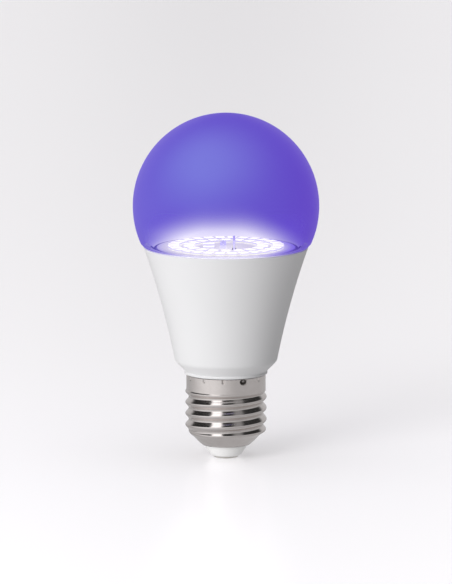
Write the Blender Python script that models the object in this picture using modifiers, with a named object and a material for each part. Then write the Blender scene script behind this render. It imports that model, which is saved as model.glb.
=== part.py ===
"""Smart LED light bulb, 60 mm globe on an E27 screw cap, built as the separate pieces it is made of.

Frame: +Z up along the bulb's axis, origin at the middle of the centre contact's flat face, -Y is the front.
Every turned piece has its outline as (radius, height) pairs, down its outer side and back up its inner side.
"""

import math

import bmesh
import bpy
from mathutils import Matrix, Vector

MM = 0.001

# Fits
GAP = 0.25 * MM  # clearance between pieces that touch
GLUE = 0.10 * MM  # clearance between flat pieces that are bonded or soldered together
CUT = 0.5 * MM  # how far a cutter runs past what it cuts

# Facets of the turned pieces
BIG_SEGMENTS = 36
CAP_SEGMENTS = 32
SMALL_SEGMENTS = 20
WIRE_SIDES = 2  # bevel resolution of the wires

# Globe
GLOBE_RADIUS = 30.0 * MM
GLOBE_WALL = 1.5 * MM
GLOBE_OVERHANG = 1.09 * MM  # how far the globe's foot stands proud of the housing's rim
GLOBE_FOOT_STEP = 1.2 * MM
GLOBE_ARC_POINTS = 13
GLOBE_INNER_POINTS = 8
SPIGOT_WALL = 1.1 * MM
SPIGOT_BEAD = 0.25 * MM

# Housing
SEAM_HEIGHT = 68.6 * MM  # where globe and housing meet
RIM_RADIUS = 26.5 * MM
RIM_EDGE = 0.3 * MM
HOUSING_WALL = 1.3 * MM
SHOULDER_HEIGHT = 31.5 * MM
SHOULDER_RADIUS = 16.4 * MM
FLARE_LOWER_SLOPE = 0.194  # growth of the radius with height, at the shoulder
FLARE_POINTS = 7
SOCKET_RADIUS = 24.45 * MM  # bore at the top that takes the globe's spigot
SOCKET_DEPTH = 3.5 * MM
LIP_RADIUS = 13.35 * MM
LIP_HEIGHT = 0.9 * MM
NECK_WALL = 1.5 * MM

# Screw cap, to the E27 thread
THREAD_CREST = 13.1 * MM
THREAD_ROOT = 12.0 * MM
THREAD_PITCH = 3.629 * MM
THREAD_START = 8.9 * MM  # height of the lowest crest at +X
THREAD_TOP = 20.9 * MM
SHELL_WALL = 0.35 * MM
SHELL_BOTTOM = 4.3 * MM
SHELL_BOTTOM_RADIUS = 7.75 * MM
BOWL_TOP = 8.6 * MM
BOWL_ROUNDING = 0.9  # 1 is a straight cone, less is rounder
RING_RADIUS = 12.75 * MM
RING_BOTTOM = 21.8 * MM
SHELL_TOP = 27.1 * MM
ROWS_PER_PITCH = 6
CRIMPS = 12
CRIMP_PHASE = math.radians(-94)
CRIMP_SIZE = 0.55 * MM
CRIMP_DEPTH = 0.2 * MM
CRIMP_BELOW_TOP = 0.8 * MM
STAKE_INDEX = 1  # the crimp that pinches the neutral wire is punched larger
STAKE_SIZE = 1.2 * MM

# Centre contact and insulator
CONTACT_RADIUS = 4.0 * MM
CONTACT_FLAT = 3.3 * MM
CONTACT_HEAD = 0.6 * MM
SHANK_RADIUS = 0.9 * MM
SHANK_ABOVE_INSULATOR = 0.5 * MM
TIP_RADIUS = 4.95 * MM
INSULATOR_TOP = 7.1 * MM

# Heat sink and LED board
SINK_WALL = 0.8 * MM
SINK_POINTS = 5
BOARD_CLEARANCE = 0.5 * MM
BOARD_THICKNESS = 1.0 * MM
BOARD_SUNK = 0.35 * MM  # how far the board's face lies below the seam
PAD_THICKNESS = 0.3 * MM
TRACK_THICKNESS = 0.2 * MM
TRACK_WIDTH = 1.6 * MM
LED_LENGTH = 3.5 * MM
LED_WIDTH = 2.8 * MM
LED_HEIGHT = 0.45 * MM
OUTER_LEDS = 28
OUTER_LED_RADIUS = 16.9 * MM
MIDDLE_LEDS = 18
MIDDLE_LED_RADIUS = 11.9 * MM
INNER_LED_X = -5.5 * MM
INNER_LED_Y = 3.2 * MM

# Driver
SLEEVE_WALL = 0.7 * MM
SLEEVE_HEADROOM = 4.1 * MM
DRIVER_THICKNESS = 1.2 * MM
DRIVER_HEADROOM = 7.5 * MM
DRIVER_EDGE_CLEARANCE = 0.5 * MM
RAIL_THICKNESS = 0.7 * MM
RAIL_REACH = 1.6 * MM
PART_CLEARANCE = 0.3 * MM  # between the sleeve and what stands on the driver board

# Radio module and the header to the LED board
RADIO_X = 2.6 * MM
RADIO_THICKNESS = 0.8 * MM
RADIO_WIDTH = 10.0 * MM
RADIO_ABOVE_BOARD = 3.0 * MM
SHIELD_THICKNESS = 1.5 * MM
SHIELD_WIDTH = 8.0 * MM
SHIELD_HEIGHT = 5.4 * MM
HEADER_X = -0.9 * MM
HEADER_PINS = 4
HEADER_PITCH = 2.0 * MM
HEADER_THICKNESS = 1.9 * MM
HEADER_HEIGHT = 1.2 * MM
PIN_SIZE = 0.5 * MM
PIN_ABOVE_HEADER = 0.5 * MM

# Wires
LIVE_WIRE_RADIUS = 0.6 * MM
NEUTRAL_WIRE_RADIUS = 0.4 * MM
WIRE_GROOVE = 1.4 * MM

# Heights that stack up from the seam
GLOBE_FOOT = SEAM_HEIGHT + GLOBE_FOOT_STEP
GLOBE_CENTRE = GLOBE_FOOT + math.sqrt(GLOBE_RADIUS**2 - (RIM_RADIUS + GLOBE_OVERHANG) ** 2)
SOCKET_FLOOR = SEAM_HEIGHT - SOCKET_DEPTH
BOARD_TOP = SEAM_HEIGHT - BOARD_SUNK
BOARD_BOTTOM = BOARD_TOP - BOARD_THICKNESS
PAD_BOTTOM = BOARD_BOTTOM - GLUE - PAD_THICKNESS
SINK_TOP = PAD_BOTTOM - GLUE
TRACK_BOTTOM = BOARD_TOP + GLUE
LED_BOTTOM = TRACK_BOTTOM + TRACK_THICKNESS
SLEEVE_TOP = SINK_TOP - SINK_WALL - SLEEVE_HEADROOM
DRIVER_TOP = SINK_TOP - SINK_WALL - DRIVER_HEADROOM
RADIO_BOTTOM = DRIVER_TOP + 2 * GAP

# Heights that follow the housing's shoulder, from the neck up
SLEEVE_NECK_TOP = SHOULDER_HEIGHT - 4.6 * MM
SINK_BOTTOM = SHOULDER_HEIGHT + 2.1 * MM
SLEEVE_SHOULDER = SHOULDER_HEIGHT + 2.3 * MM
DRIVER_STEP = SHOULDER_HEIGHT + 3.1 * MM
SHANK_TOP = INSULATOR_TOP + SHANK_ABOVE_INSULATOR
NECK_BOTTOM = INSULATOR_TOP + 4.9 * MM
SLEEVE_BOTTOM = NECK_BOTTOM + 1.0 * MM
DRIVER_BOTTOM = SLEEVE_BOTTOM + 1.2 * MM
RAIL_BOTTOM = DRIVER_BOTTOM + 0.8 * MM
RAIL_TOP = SLEEVE_NECK_TOP - 0.1 * MM

# Radii that stack in from the socket and from the cap
SPIGOT_RADIUS = SOCKET_RADIUS - GAP
SPIGOT_BORE = SPIGOT_RADIUS - SPIGOT_WALL
BOARD_RADIUS = SPIGOT_BORE - BOARD_CLEARANCE
RING_BORE = RING_RADIUS - SHELL_WALL
NECK_UPPER_RADIUS = RING_BORE - GAP
NECK_RADIUS = THREAD_ROOT - SHELL_WALL - GAP
NECK_BORE = NECK_RADIUS - NECK_WALL
SLEEVE_NECK_RADIUS = NECK_BORE - GAP
SLEEVE_BORE = SLEEVE_NECK_RADIUS - SLEEVE_WALL
DRIVER_NECK_HALF = SLEEVE_BORE - DRIVER_EDGE_CLEARANCE
SINK_INSET = HOUSING_WALL + GAP
SLEEVE_INSET = SINK_INSET + SINK_WALL + GAP
STAKE_ANGLE = CRIMP_PHASE + STAKE_INDEX * math.tau / CRIMPS
CRIMP_HEIGHT = SHELL_TOP - CRIMP_BELOW_TOP


def clear_scene():
    for scene_object in list(bpy.data.objects):
        bpy.data.objects.remove(scene_object, do_unlink=True)


def new_collection(name):
    collection = bpy.data.collections.new(name)
    bpy.context.scene.collection.children.link(collection)
    return collection


clear_scene()
BULB = new_collection("smart_light_bulb")
CUTTERS = new_collection("cutters")


# ---------------------------------------------------------------- materials


def finish(name, colour, roughness, metallic=0.0, alpha=1.0):
    """A Principled material, made once for each name."""
    made = bpy.data.materials.get(name)
    if made:
        return made
    made = bpy.data.materials.new(name)
    made.use_nodes = True
    shader = made.node_tree.nodes["Principled BSDF"]
    shader.inputs["Base Color"].default_value = (*colour, 1.0)
    shader.inputs["Roughness"].default_value = roughness
    shader.inputs["Metallic"].default_value = metallic
    shader.inputs["Alpha"].default_value = alpha
    made.diffuse_color = (*colour, alpha)
    return made


def violet_polycarbonate():
    return finish("violet_polycarbonate", (0.16, 0.12, 0.62), 0.25, alpha=0.55)


def white_plastic():
    return finish("white_plastic", (0.80, 0.80, 0.80), 0.4)


def nickel_plate():
    return finish("nickel_plate", (0.66, 0.62, 0.60), 0.22, metallic=1.0)


def aluminium():
    return finish("aluminium", (0.72, 0.73, 0.75), 0.35, metallic=1.0)


def silicone():
    return finish("silicone", (0.85, 0.85, 0.83), 0.5)


def thermal_pad_grey():
    return finish("thermal_pad_grey", (0.45, 0.48, 0.52), 0.8)


def led_white():
    return finish("led_white", (0.90, 0.90, 0.95), 0.3)


def circuit_board():
    return finish("circuit_board", (0.05, 0.22, 0.10), 0.4)


def radio_board_white():
    return finish("radio_board_white", (0.82, 0.82, 0.86), 0.4)


def tinned_steel():
    return finish("tinned_steel", (0.70, 0.70, 0.70), 0.3, metallic=1.0)


def black_plastic():
    return finish("black_plastic", (0.03, 0.03, 0.03), 0.45)


def ferrite():
    return finish("ferrite", (0.08, 0.08, 0.09), 0.7)


def copper_winding():
    return finish("copper_winding", (0.55, 0.23, 0.10), 0.35, metallic=1.0)


def capacitor_sleeve():
    return finish("capacitor_sleeve", (0.04, 0.06, 0.14), 0.35)


def film_yellow():
    return finish("film_yellow", (0.75, 0.50, 0.05), 0.4)


def varistor_blue():
    return finish("varistor_blue", (0.05, 0.12, 0.45), 0.35)


def resistor_green():
    return finish("resistor_green", (0.18, 0.32, 0.20), 0.6)


def wire_insulation():
    return finish("wire_insulation", (0.75, 0.75, 0.72), 0.5)


# ---------------------------------------------------------------- shaping tools


def add_object(name, mesh, material=None, collection=None):
    made = bpy.data.objects.new(name, mesh)
    (collection or BULB).objects.link(made)
    if material:
        mesh.materials.append(material)
    return made


def helper(made):
    """Marks an object as a cutter or a guide, which isn't a piece of the bulb."""
    made.hide_render = True
    made.display_type = "WIRE"
    return made


def profile_mesh(name, outline, closed):
    mesh = bpy.data.meshes.new(name)
    bm = bmesh.new()
    points = [bm.verts.new((radius, 0.0, height)) for radius, height in outline]
    for start, end in zip(points, points[1:]):
        bm.edges.new((start, end))
    if closed:
        bm.edges.new((points[-1], points[0]))
    bm.to_mesh(mesh)
    bm.free()
    return mesh


def turned(name, outline, material, segments=BIG_SEGMENTS, closed=True, collection=None):
    """A turned piece. An outline that starts and ends on the axis isn't closed."""
    made = add_object(name, profile_mesh(name, outline, closed), material, collection)
    screw = made.modifiers.new("turn", "SCREW")
    screw.axis = "Z"
    screw.angle = math.tau
    screw.steps = segments
    screw.render_steps = segments
    screw.use_merge_vertices = True
    screw.merge_threshold = 0.00001
    screw.use_smooth_shade = True
    return made


def box_mesh(name, size, centre=(0, 0, 0)):
    mesh = bpy.data.meshes.new(name)
    bm = bmesh.new()
    bmesh.ops.create_cube(bm, size=1.0)
    bmesh.ops.scale(bm, vec=size, verts=bm.verts)
    bmesh.ops.translate(bm, vec=centre, verts=bm.verts)
    bm.to_mesh(mesh)
    bm.free()
    return mesh


def box(name, size, place, material=None, edge=0.0, turn=0.0, collection=None):
    """A block centred on its place, turned about Z, with its edges eased by a bevel."""
    made = add_object(name, box_mesh(name, size), material, collection)
    made.location = place
    made.rotation_euler[2] = turn
    if edge:
        bevel = made.modifiers.new("eased_edges", "BEVEL")
        bevel.width = edge
        bevel.segments = 1
    return made


def block_between(name, low, high, material=None, edge=0.0, collection=None):
    size = [b - a for a, b in zip(low, high)]
    middle = [(a + b) / 2 for a, b in zip(low, high)]
    return box(name, size, middle, material, edge, collection=collection)


def cylinder(name, radius, length, place, axis, material=None, segments=SMALL_SEGMENTS, edge=0.0):
    """A cylinder along the axis, X, Y or Z, centred on its place."""
    mesh = bpy.data.meshes.new(name)
    bm = bmesh.new()
    bmesh.ops.create_cone(
        bm, cap_ends=True, segments=segments, radius1=radius, radius2=radius, depth=length
    )
    bm.to_mesh(mesh)
    bm.free()
    made = add_object(name, mesh, material)
    made.location = place
    made.rotation_euler = {"X": (0, math.pi / 2, 0), "Y": (math.pi / 2, 0, 0), "Z": (0, 0, 0)}[axis]
    if edge:
        bevel = made.modifiers.new("eased_edges", "BEVEL")
        bevel.width = edge
        bevel.segments = 1
        bevel.limit_method = "ANGLE"
    mesh.shade_smooth()
    mesh.set_sharp_from_angle(angle=math.radians(40))
    return made


def boolean(target, operation, other):
    """Cuts another object from the target, or joins it on. The other becomes a helper."""
    modifier = target.modifiers.new(operation.lower() + "_" + other.name, "BOOLEAN")
    modifier.operation = operation
    modifier.solver = "EXACT"
    modifier.object = helper(other)
    return target


def wire(name, points, radius, material):
    """A wire through the points, as a smooth curve cut into short straight steps."""
    curve = bpy.data.curves.new(name, "CURVE")
    curve.dimensions = "3D"
    curve.bevel_depth = radius
    curve.bevel_resolution = WIRE_SIDES
    curve.use_fill_caps = True
    route = smooth_route([Vector(point) for point in points], steps=4)
    spline = curve.splines.new("POLY")
    spline.points.add(len(route) - 1)
    for spline_point, place in zip(spline.points, route):
        spline_point.co = (*place, 1.0)
    return add_object(name, curve, material)


def smooth_route(points, steps):
    """Points on a Catmull-Rom curve through the given points."""
    ends = [points[0] * 2 - points[1], *points, points[-1] * 2 - points[-2]]
    route = []
    for before, start, end, after in zip(ends, ends[1:], ends[2:], ends[3:]):
        for step in range(steps):
            t = step / steps
            route.append(
                0.5
                * (
                    2 * start
                    + (end - before) * t
                    + (2 * before - 5 * start + 4 * end - after) * t**2
                    + (3 * start - before - 3 * end + after) * t**3
                )
            )
    route.append(points[-1])
    return route


def around(radius, angle, height=0.0):
    return Vector((radius * math.cos(angle), radius * math.sin(angle), height))


def smooth_step(low, high, value):
    t = min(max((value - low) / (high - low), 0.0), 1.0)
    return t * t * (3 - 2 * t)


# ---------------------------------------------------------------- shared outlines


def flare_radius(height):
    """Outer radius of the housing's flared wall between the shoulder and the seam."""
    length = SEAM_HEIGHT - SHOULDER_HEIGHT
    growth = (RIM_RADIUS - SHOULDER_RADIUS - FLARE_LOWER_SLOPE * length) / length**2
    above = height - SHOULDER_HEIGHT
    return SHOULDER_RADIUS + FLARE_LOWER_SLOPE * above + growth * above**2


def heights(low, high, count):
    return [low + (high - low) * i / (count - 1) for i in range(count)]


def flare(top, bottom, inset, count):
    """Points down the flared wall, inset from its outer face."""
    return [(flare_radius(z) - inset, z) for z in heights(top, bottom, count)]


def globe_arc(radius, start_angle, end_angle, count):
    """Points of the globe's circle. Angles are from the equator, upwards."""
    arc = []
    for i in range(count):
        angle = start_angle + (end_angle - start_angle) * i / (count - 1)
        arc.append((radius * math.cos(angle), GLOBE_CENTRE + radius * math.sin(angle)))
    return [(0.0 if abs(r) < 1e-9 else r, z) for r, z in arc]


# ---------------------------------------------------------------- globe and housing


def make_globe():
    inner_radius = GLOBE_RADIUS - GLOBE_WALL
    outer_end = -math.asin((GLOBE_CENTRE - GLOBE_FOOT) / GLOBE_RADIUS)
    inner_end = -math.asin((GLOBE_CENTRE - GLOBE_FOOT - 1.0 * MM) / inner_radius)
    outer = globe_arc(GLOBE_RADIUS, math.pi / 2, outer_end, GLOBE_ARC_POINTS)
    inner = globe_arc(inner_radius, inner_end, math.pi / 2, GLOBE_INNER_POINTS)
    spigot = SPIGOT_RADIUS
    seat = SEAM_HEIGHT + GAP / 2
    bead = SEAM_HEIGHT - 1.3 * MM
    foot = SOCKET_FLOOR + 1.0 * MM
    skirt = [
        (RIM_RADIUS, seat),
        (spigot, seat),
        (spigot, bead + 2 * SPIGOT_BEAD),
        (spigot + SPIGOT_BEAD, bead),
        (spigot, bead - 2 * SPIGOT_BEAD),
        (spigot, foot),
        (SPIGOT_BORE, foot),
        (SPIGOT_BORE, SEAM_HEIGHT),
    ]
    return turned("globe", outer + skirt + inner, violet_polycarbonate(), closed=False)


def make_globe_seal():
    section = 0.32 * MM
    ring_radius = SOCKET_RADIUS - 0.5 * MM
    height = SOCKET_FLOOR + section + GAP
    outline = []
    for i in range(8):
        angle = math.pi / 2 - math.tau * i / 8
        outline.append((ring_radius + section * math.cos(angle), height + section * math.sin(angle)))
    return turned("globe_seal", outline, silicone())


def make_housing():
    top = SEAM_HEIGHT - GAP / 2
    groove = SEAM_HEIGHT - 1.3 * MM
    lip_bottom = SHELL_TOP + GAP
    lip_top = lip_bottom + LIP_HEIGHT
    crimp = CRIMP_HEIGHT
    chamfer_foot = SHOULDER_HEIGHT - 0.5 * MM
    outline = [
        (RIM_RADIUS - RIM_EDGE, top),
        *flare(top - RIM_EDGE, SHOULDER_HEIGHT, 0.0, FLARE_POINTS),
        (SHOULDER_RADIUS - 0.3 * MM, chamfer_foot),
        (LIP_RADIUS, lip_top),
        (LIP_RADIUS - 0.15 * MM, lip_top - 0.35 * MM),
        (LIP_RADIUS, lip_bottom + 0.35 * MM),
        (LIP_RADIUS - 0.3 * MM, lip_bottom),
        (NECK_UPPER_RADIUS, lip_bottom),
        (NECK_UPPER_RADIUS, crimp + 0.6 * MM),
        (NECK_UPPER_RADIUS - 0.6 * MM, crimp + 0.4 * MM),
        (NECK_UPPER_RADIUS - 0.6 * MM, crimp - 0.4 * MM),
        (NECK_UPPER_RADIUS, crimp - 0.6 * MM),
        (NECK_UPPER_RADIUS, RING_BOTTOM + 0.9 * MM),
        (NECK_RADIUS, RING_BOTTOM - 0.2 * MM),
        (NECK_RADIUS, NECK_BOTTOM),
        (NECK_BORE, NECK_BOTTOM),
        (NECK_BORE, SLEEVE_NECK_TOP - 0.15 * MM),
        (SHOULDER_RADIUS - HOUSING_WALL - 0.1 * MM, SHOULDER_HEIGHT + 0.2 * MM),
        *flare(SHOULDER_HEIGHT + 1.5 * MM, SOCKET_FLOOR, HOUSING_WALL, FLARE_POINTS),
        (SOCKET_RADIUS, SOCKET_FLOOR),
        (SOCKET_RADIUS, groove - 2 * SPIGOT_BEAD),
        (SOCKET_RADIUS + SPIGOT_BEAD, groove),
        (SOCKET_RADIUS, groove + 2 * SPIGOT_BEAD),
        (SOCKET_RADIUS, top),
    ]
    housing = turned("housing", outline, white_plastic())
    groove_depth = 2 * NEUTRAL_WIRE_RADIUS + GAP
    groove_bottom = NECK_BOTTOM - CUT
    groove_top = CRIMP_HEIGHT + 0.2 * MM
    reach = NECK_UPPER_RADIUS + CUT - (NECK_RADIUS - groove_depth)
    cutter = box(
        "neutral_wire_groove",
        (reach, WIRE_GROOVE, groove_top - groove_bottom),
        around(NECK_RADIUS - groove_depth + reach / 2, STAKE_ANGLE, (groove_top + groove_bottom) / 2),
        turn=STAKE_ANGLE,
        collection=CUTTERS,
    )
    return boolean(housing, "DIFFERENCE", cutter)


# ---------------------------------------------------------------- screw cap


def shell_radius(angle, height):
    """Outer radius of the rolled shell: a bowl, then the round-form thread, then the plain ring."""
    if height <= BOWL_TOP:
        rise = (height - SHELL_BOTTOM) / (BOWL_TOP - SHELL_BOTTOM)
        plain = SHELL_BOTTOM_RADIUS + (THREAD_ROOT - SHELL_BOTTOM_RADIUS) * rise**BOWL_ROUNDING
    else:
        plain = THREAD_ROOT + (RING_RADIUS - THREAD_ROOT) * smooth_step(THREAD_TOP, RING_BOTTOM, height)
    fade = smooth_step(BOWL_TOP - 1.6 * MM, BOWL_TOP + 1.2 * MM, height)
    fade *= 1 - smooth_step(RING_BOTTOM - 0.2 * MM, RING_BOTTOM + 0.8 * MM, height)
    turns = (height - THREAD_START) / THREAD_PITCH - angle / math.tau
    wave = 0.5 + 0.5 * math.cos(turns * math.tau)
    return plain + (THREAD_CREST - plain) * fade * wave


def make_screw_shell():
    bowl = heights(SHELL_BOTTOM, BOWL_TOP - 0.6 * MM, 5)
    thread_rows = round((THREAD_TOP - BOWL_TOP) / THREAD_PITCH * ROWS_PER_PITCH)
    thread = heights(BOWL_TOP, THREAD_TOP, thread_rows + 1)
    shoulder = [(THREAD_TOP + RING_BOTTOM) / 2, RING_BOTTOM]
    ring = [RING_BOTTOM + 0.4 * MM, RING_BOTTOM + 0.8 * MM, SHELL_TOP]
    mesh = bpy.data.meshes.new("screw_shell")
    bm = bmesh.new()
    points = [bm.verts.new((1.0, 0.0, z)) for z in bowl + thread + shoulder + ring]
    edges = [bm.edges.new(pair) for pair in zip(points, points[1:])]
    bmesh.ops.spin(
        bm,
        geom=points + edges,
        cent=(0, 0, 0),
        axis=(0, 0, 1),
        angle=math.tau,
        steps=CAP_SEGMENTS,
        use_merge=True,
    )
    for vert in bm.verts:
        angle = math.atan2(vert.co.y, vert.co.x)
        vert.co = around(shell_radius(angle, vert.co.z), angle, vert.co.z)
    bmesh.ops.recalc_face_normals(bm, faces=bm.faces)
    if sum(face.normal.dot(face.calc_center_median() * Vector((1, 1, 0))) for face in bm.faces) < 0:
        bmesh.ops.reverse_faces(bm, faces=bm.faces)
    bm.to_mesh(mesh)
    bm.free()
    shell = add_object("screw_shell", mesh, nickel_plate())
    wall = shell.modifiers.new("sheet_metal", "SOLIDIFY")
    wall.thickness = SHELL_WALL
    wall.offset = -1.0
    mesh.shade_smooth()
    return boolean(shell, "DIFFERENCE", crimp_punches())


def crimp_punches():
    """Four-sided punches that dent the ring all round, one of them larger."""
    mesh = bpy.data.meshes.new("crimp_punches")
    bm = bmesh.new()
    for i in range(CRIMPS):
        angle = CRIMP_PHASE + i * math.tau / CRIMPS
        size = STAKE_SIZE if i == STAKE_INDEX else CRIMP_SIZE
        reach = CRIMP_DEPTH + CUT
        punch = bmesh.ops.create_cone(
            bm, cap_ends=True, segments=4, radius1=size * reach / CRIMP_DEPTH, radius2=0.0, depth=reach
        )["verts"]
        bmesh.ops.transform(
            bm,
            verts=punch,
            matrix=Matrix.Translation(around(RING_RADIUS - CRIMP_DEPTH + reach / 2, angle, CRIMP_HEIGHT))
            @ Matrix.Rotation(angle, 4, "Z")
            @ Matrix.Rotation(-math.pi / 2, 4, "Y"),
        )
    bm.to_mesh(mesh)
    bm.free()
    return add_object("crimp_punches", mesh, collection=CUTTERS)


def make_centre_contact():
    outline = [
        (0.0, SHANK_TOP),
        (SHANK_RADIUS, SHANK_TOP),
        (SHANK_RADIUS, CONTACT_HEAD),
        (CONTACT_RADIUS - 0.15 * MM, CONTACT_HEAD),
        (CONTACT_RADIUS, CONTACT_HEAD - 0.15 * MM),
        (CONTACT_RADIUS - 0.15 * MM, CONTACT_HEAD - 0.4 * MM),
        (CONTACT_FLAT, 0.0),
        (0.0, 0.0),
    ]
    return turned("centre_contact", outline, nickel_plate(), SMALL_SEGMENTS, closed=False)


def make_cap_insulator():
    """The plug that closes the shell: its cone shows below the shell and its flange sits inside it."""
    throat = SHELL_BOTTOM_RADIUS - SHELL_WALL - 2 * GAP
    bottom = CONTACT_HEAD + GLUE
    flange_bottom = SHELL_BOTTOM + 1.5 * MM
    flange = shell_radius(0.0, flange_bottom) - 2 * SHELL_WALL - 2 * GAP
    bore = SHANK_RADIUS + GLUE
    outline = [
        (flange, INSULATOR_TOP),
        (flange, flange_bottom),
        (throat, SHELL_BOTTOM + 0.5 * MM),
        (throat, SHELL_BOTTOM - 0.15 * MM),
        (throat - 0.1 * MM, SHELL_BOTTOM - 0.5 * MM),
        (TIP_RADIUS + 0.15 * MM, bottom + 0.45 * MM),
        (TIP_RADIUS - 0.25 * MM, bottom),
        (bore, bottom),
        (bore, INSULATOR_TOP),
    ]
    return turned("cap_insulator", outline, white_plastic(), SMALL_SEGMENTS + 8)


# ---------------------------------------------------------------- heat sink and LED board


def make_heat_sink():
    """A pressed aluminium cup, closed on top under the LED board, that lines the housing."""
    top_radius = SPIGOT_BORE - 2 * GAP
    wall = SINK_WALL
    ledge = SOCKET_FLOOR - GAP
    widest = ledge - 0.35 * MM
    outline = [
        (0.0, SINK_TOP),
        (top_radius - 0.4 * MM, SINK_TOP),
        (top_radius, SINK_TOP - 0.4 * MM),
        (top_radius, ledge),
        *flare(widest, SINK_BOTTOM, SINK_INSET, SINK_POINTS),
        *flare(SINK_BOTTOM, widest - wall, SINK_INSET + wall, SINK_POINTS),
        (top_radius - wall, ledge - wall),
        (top_radius - wall, SINK_TOP - wall),
        (0.0, SINK_TOP - wall),
    ]
    sink = turned("heat_sink", outline, aluminium(), closed=False)
    window = block_between(
        "heat_sink_window",
        (HEADER_X - 2.2 * MM, -RADIO_WIDTH / 2 - 1 * MM, SINK_TOP - wall - CUT),
        (RADIO_X + 2.6 * MM, RADIO_WIDTH / 2 + 1 * MM, SINK_TOP + CUT),
        collection=CUTTERS,
    )
    return boolean(sink, "DIFFERENCE", window)


def board_slots(name, low, high):
    """Cutters for the radio board's slot and the header pins' slot, as one object of two blocks."""
    mesh = bpy.data.meshes.new(name)
    bm = bmesh.new()
    height = high - low + 2 * CUT
    slots = (
        (RADIO_X, RADIO_THICKNESS + 2 * GAP, RADIO_WIDTH + 2 * GAP),
        (HEADER_X, PIN_SIZE + 2 * GAP, (HEADER_PINS - 1) * HEADER_PITCH + PIN_SIZE + 2 * GAP),
    )
    for x, thickness, width in slots:
        verts = bmesh.ops.create_cube(bm, size=1.0)["verts"]
        bmesh.ops.scale(bm, vec=(thickness, width, height), verts=verts)
        bmesh.ops.translate(bm, vec=(x, 0, (low + high) / 2), verts=verts)
    bm.to_mesh(mesh)
    bm.free()
    return add_object(name, mesh, collection=CUTTERS)


def make_board_disc(name, radius, low, high, material):
    outline = [(0.0, high), (radius, high), (radius, low), (0.0, low)]
    disc = turned(name, outline, material, closed=False)
    return boolean(disc, "DIFFERENCE", board_slots(name + "_slots", low, high))


def led_blocks(name, places):
    """LED packages at (x, y, turn), sunk a little into the track that they are soldered to."""
    mesh = bpy.data.meshes.new(name)
    bm = bmesh.new()
    sunk = TRACK_THICKNESS / 2
    for x, y, turn in places:
        verts = bmesh.ops.create_cube(bm, size=1.0)["verts"]
        bmesh.ops.scale(bm, vec=(LED_LENGTH, LED_WIDTH, LED_HEIGHT + sunk), verts=verts)
        middle = LED_BOTTOM + (LED_HEIGHT - sunk) / 2
        bmesh.ops.transform(
            bm, verts=verts, matrix=Matrix.Translation((x, y, middle)) @ Matrix.Rotation(turn, 4, "Z")
        )
    bm.to_mesh(mesh)
    bm.free()
    return add_object(name, mesh, collection=CUTTERS)


def make_led_ring(name, count, radius):
    """A ring of LED packages soldered to their copper track."""
    low, high = TRACK_BOTTOM, LED_BOTTOM
    inner, outer = radius - TRACK_WIDTH / 2, radius + TRACK_WIDTH / 2
    track = turned(name, [(outer, high), (outer, low), (inner, low), (inner, high)], led_white())
    turns = [math.tau * (i + 0.5) / count for i in range(count)]
    places = [(radius * math.cos(turn), radius * math.sin(turn), turn) for turn in turns]
    return boolean(track, "UNION", led_blocks(name + "_packages", places))


def make_led_pair():
    """The two LEDs nearest the middle, on a short straight track."""
    track = block_between(
        "led_string_inner",
        (INNER_LED_X - TRACK_WIDTH / 2, -INNER_LED_Y - LED_WIDTH / 3, TRACK_BOTTOM),
        (INNER_LED_X + TRACK_WIDTH / 2, INNER_LED_Y + LED_WIDTH / 3, LED_BOTTOM),
        led_white(),
    )
    places = [(INNER_LED_X, side * INNER_LED_Y, 0.0) for side in (-1, 1)]
    return boolean(track, "UNION", led_blocks("led_pair_packages", places))


# ---------------------------------------------------------------- driver


def sleeve_outline():
    wall = SLEEVE_WALL
    neck = SLEEVE_NECK_RADIUS
    shoulder = SLEEVE_NECK_TOP
    outer = flare(SLEEVE_TOP, SLEEVE_SHOULDER, SLEEVE_INSET, 4)
    inner = flare(SLEEVE_SHOULDER, SLEEVE_TOP, SLEEVE_INSET + wall, 4)
    return [
        *outer,
        (neck, shoulder),
        (neck, SLEEVE_BOTTOM),
        (neck - wall, SLEEVE_BOTTOM),
        (neck - wall, shoulder + 0.2 * MM),
        *inner,
    ]


def rail_blocks():
    """Ribs in pairs that guide the two long edges of the driver board."""
    mesh = bpy.data.meshes.new("rail_blocks")
    bm = bmesh.new()
    tip = DRIVER_NECK_HALF - RAIL_REACH
    root = SLEEVE_NECK_RADIUS - SLEEVE_WALL / 2
    offset = DRIVER_THICKNESS / 2 + GAP + RAIL_THICKNESS / 2
    root = math.sqrt(root**2 - (offset + RAIL_THICKNESS / 2) ** 2)
    for x_side in (-1, 1):
        for y_side in (-1, 1):
            verts = bmesh.ops.create_cube(bm, size=1.0)["verts"]
            bmesh.ops.scale(bm, vec=(root - tip, RAIL_THICKNESS, RAIL_TOP - RAIL_BOTTOM), verts=verts)
            place = (x_side * (root + tip) / 2, y_side * offset, (RAIL_TOP + RAIL_BOTTOM) / 2)
            bmesh.ops.translate(bm, vec=place, verts=verts)
    bm.to_mesh(mesh)
    bm.free()
    return add_object("rail_blocks", mesh, collection=CUTTERS)


def make_driver_sleeve():
    sleeve = turned("driver_sleeve", sleeve_outline(), white_plastic(), SMALL_SEGMENTS + 8)
    return boolean(sleeve, "UNION", rail_blocks())


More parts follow.
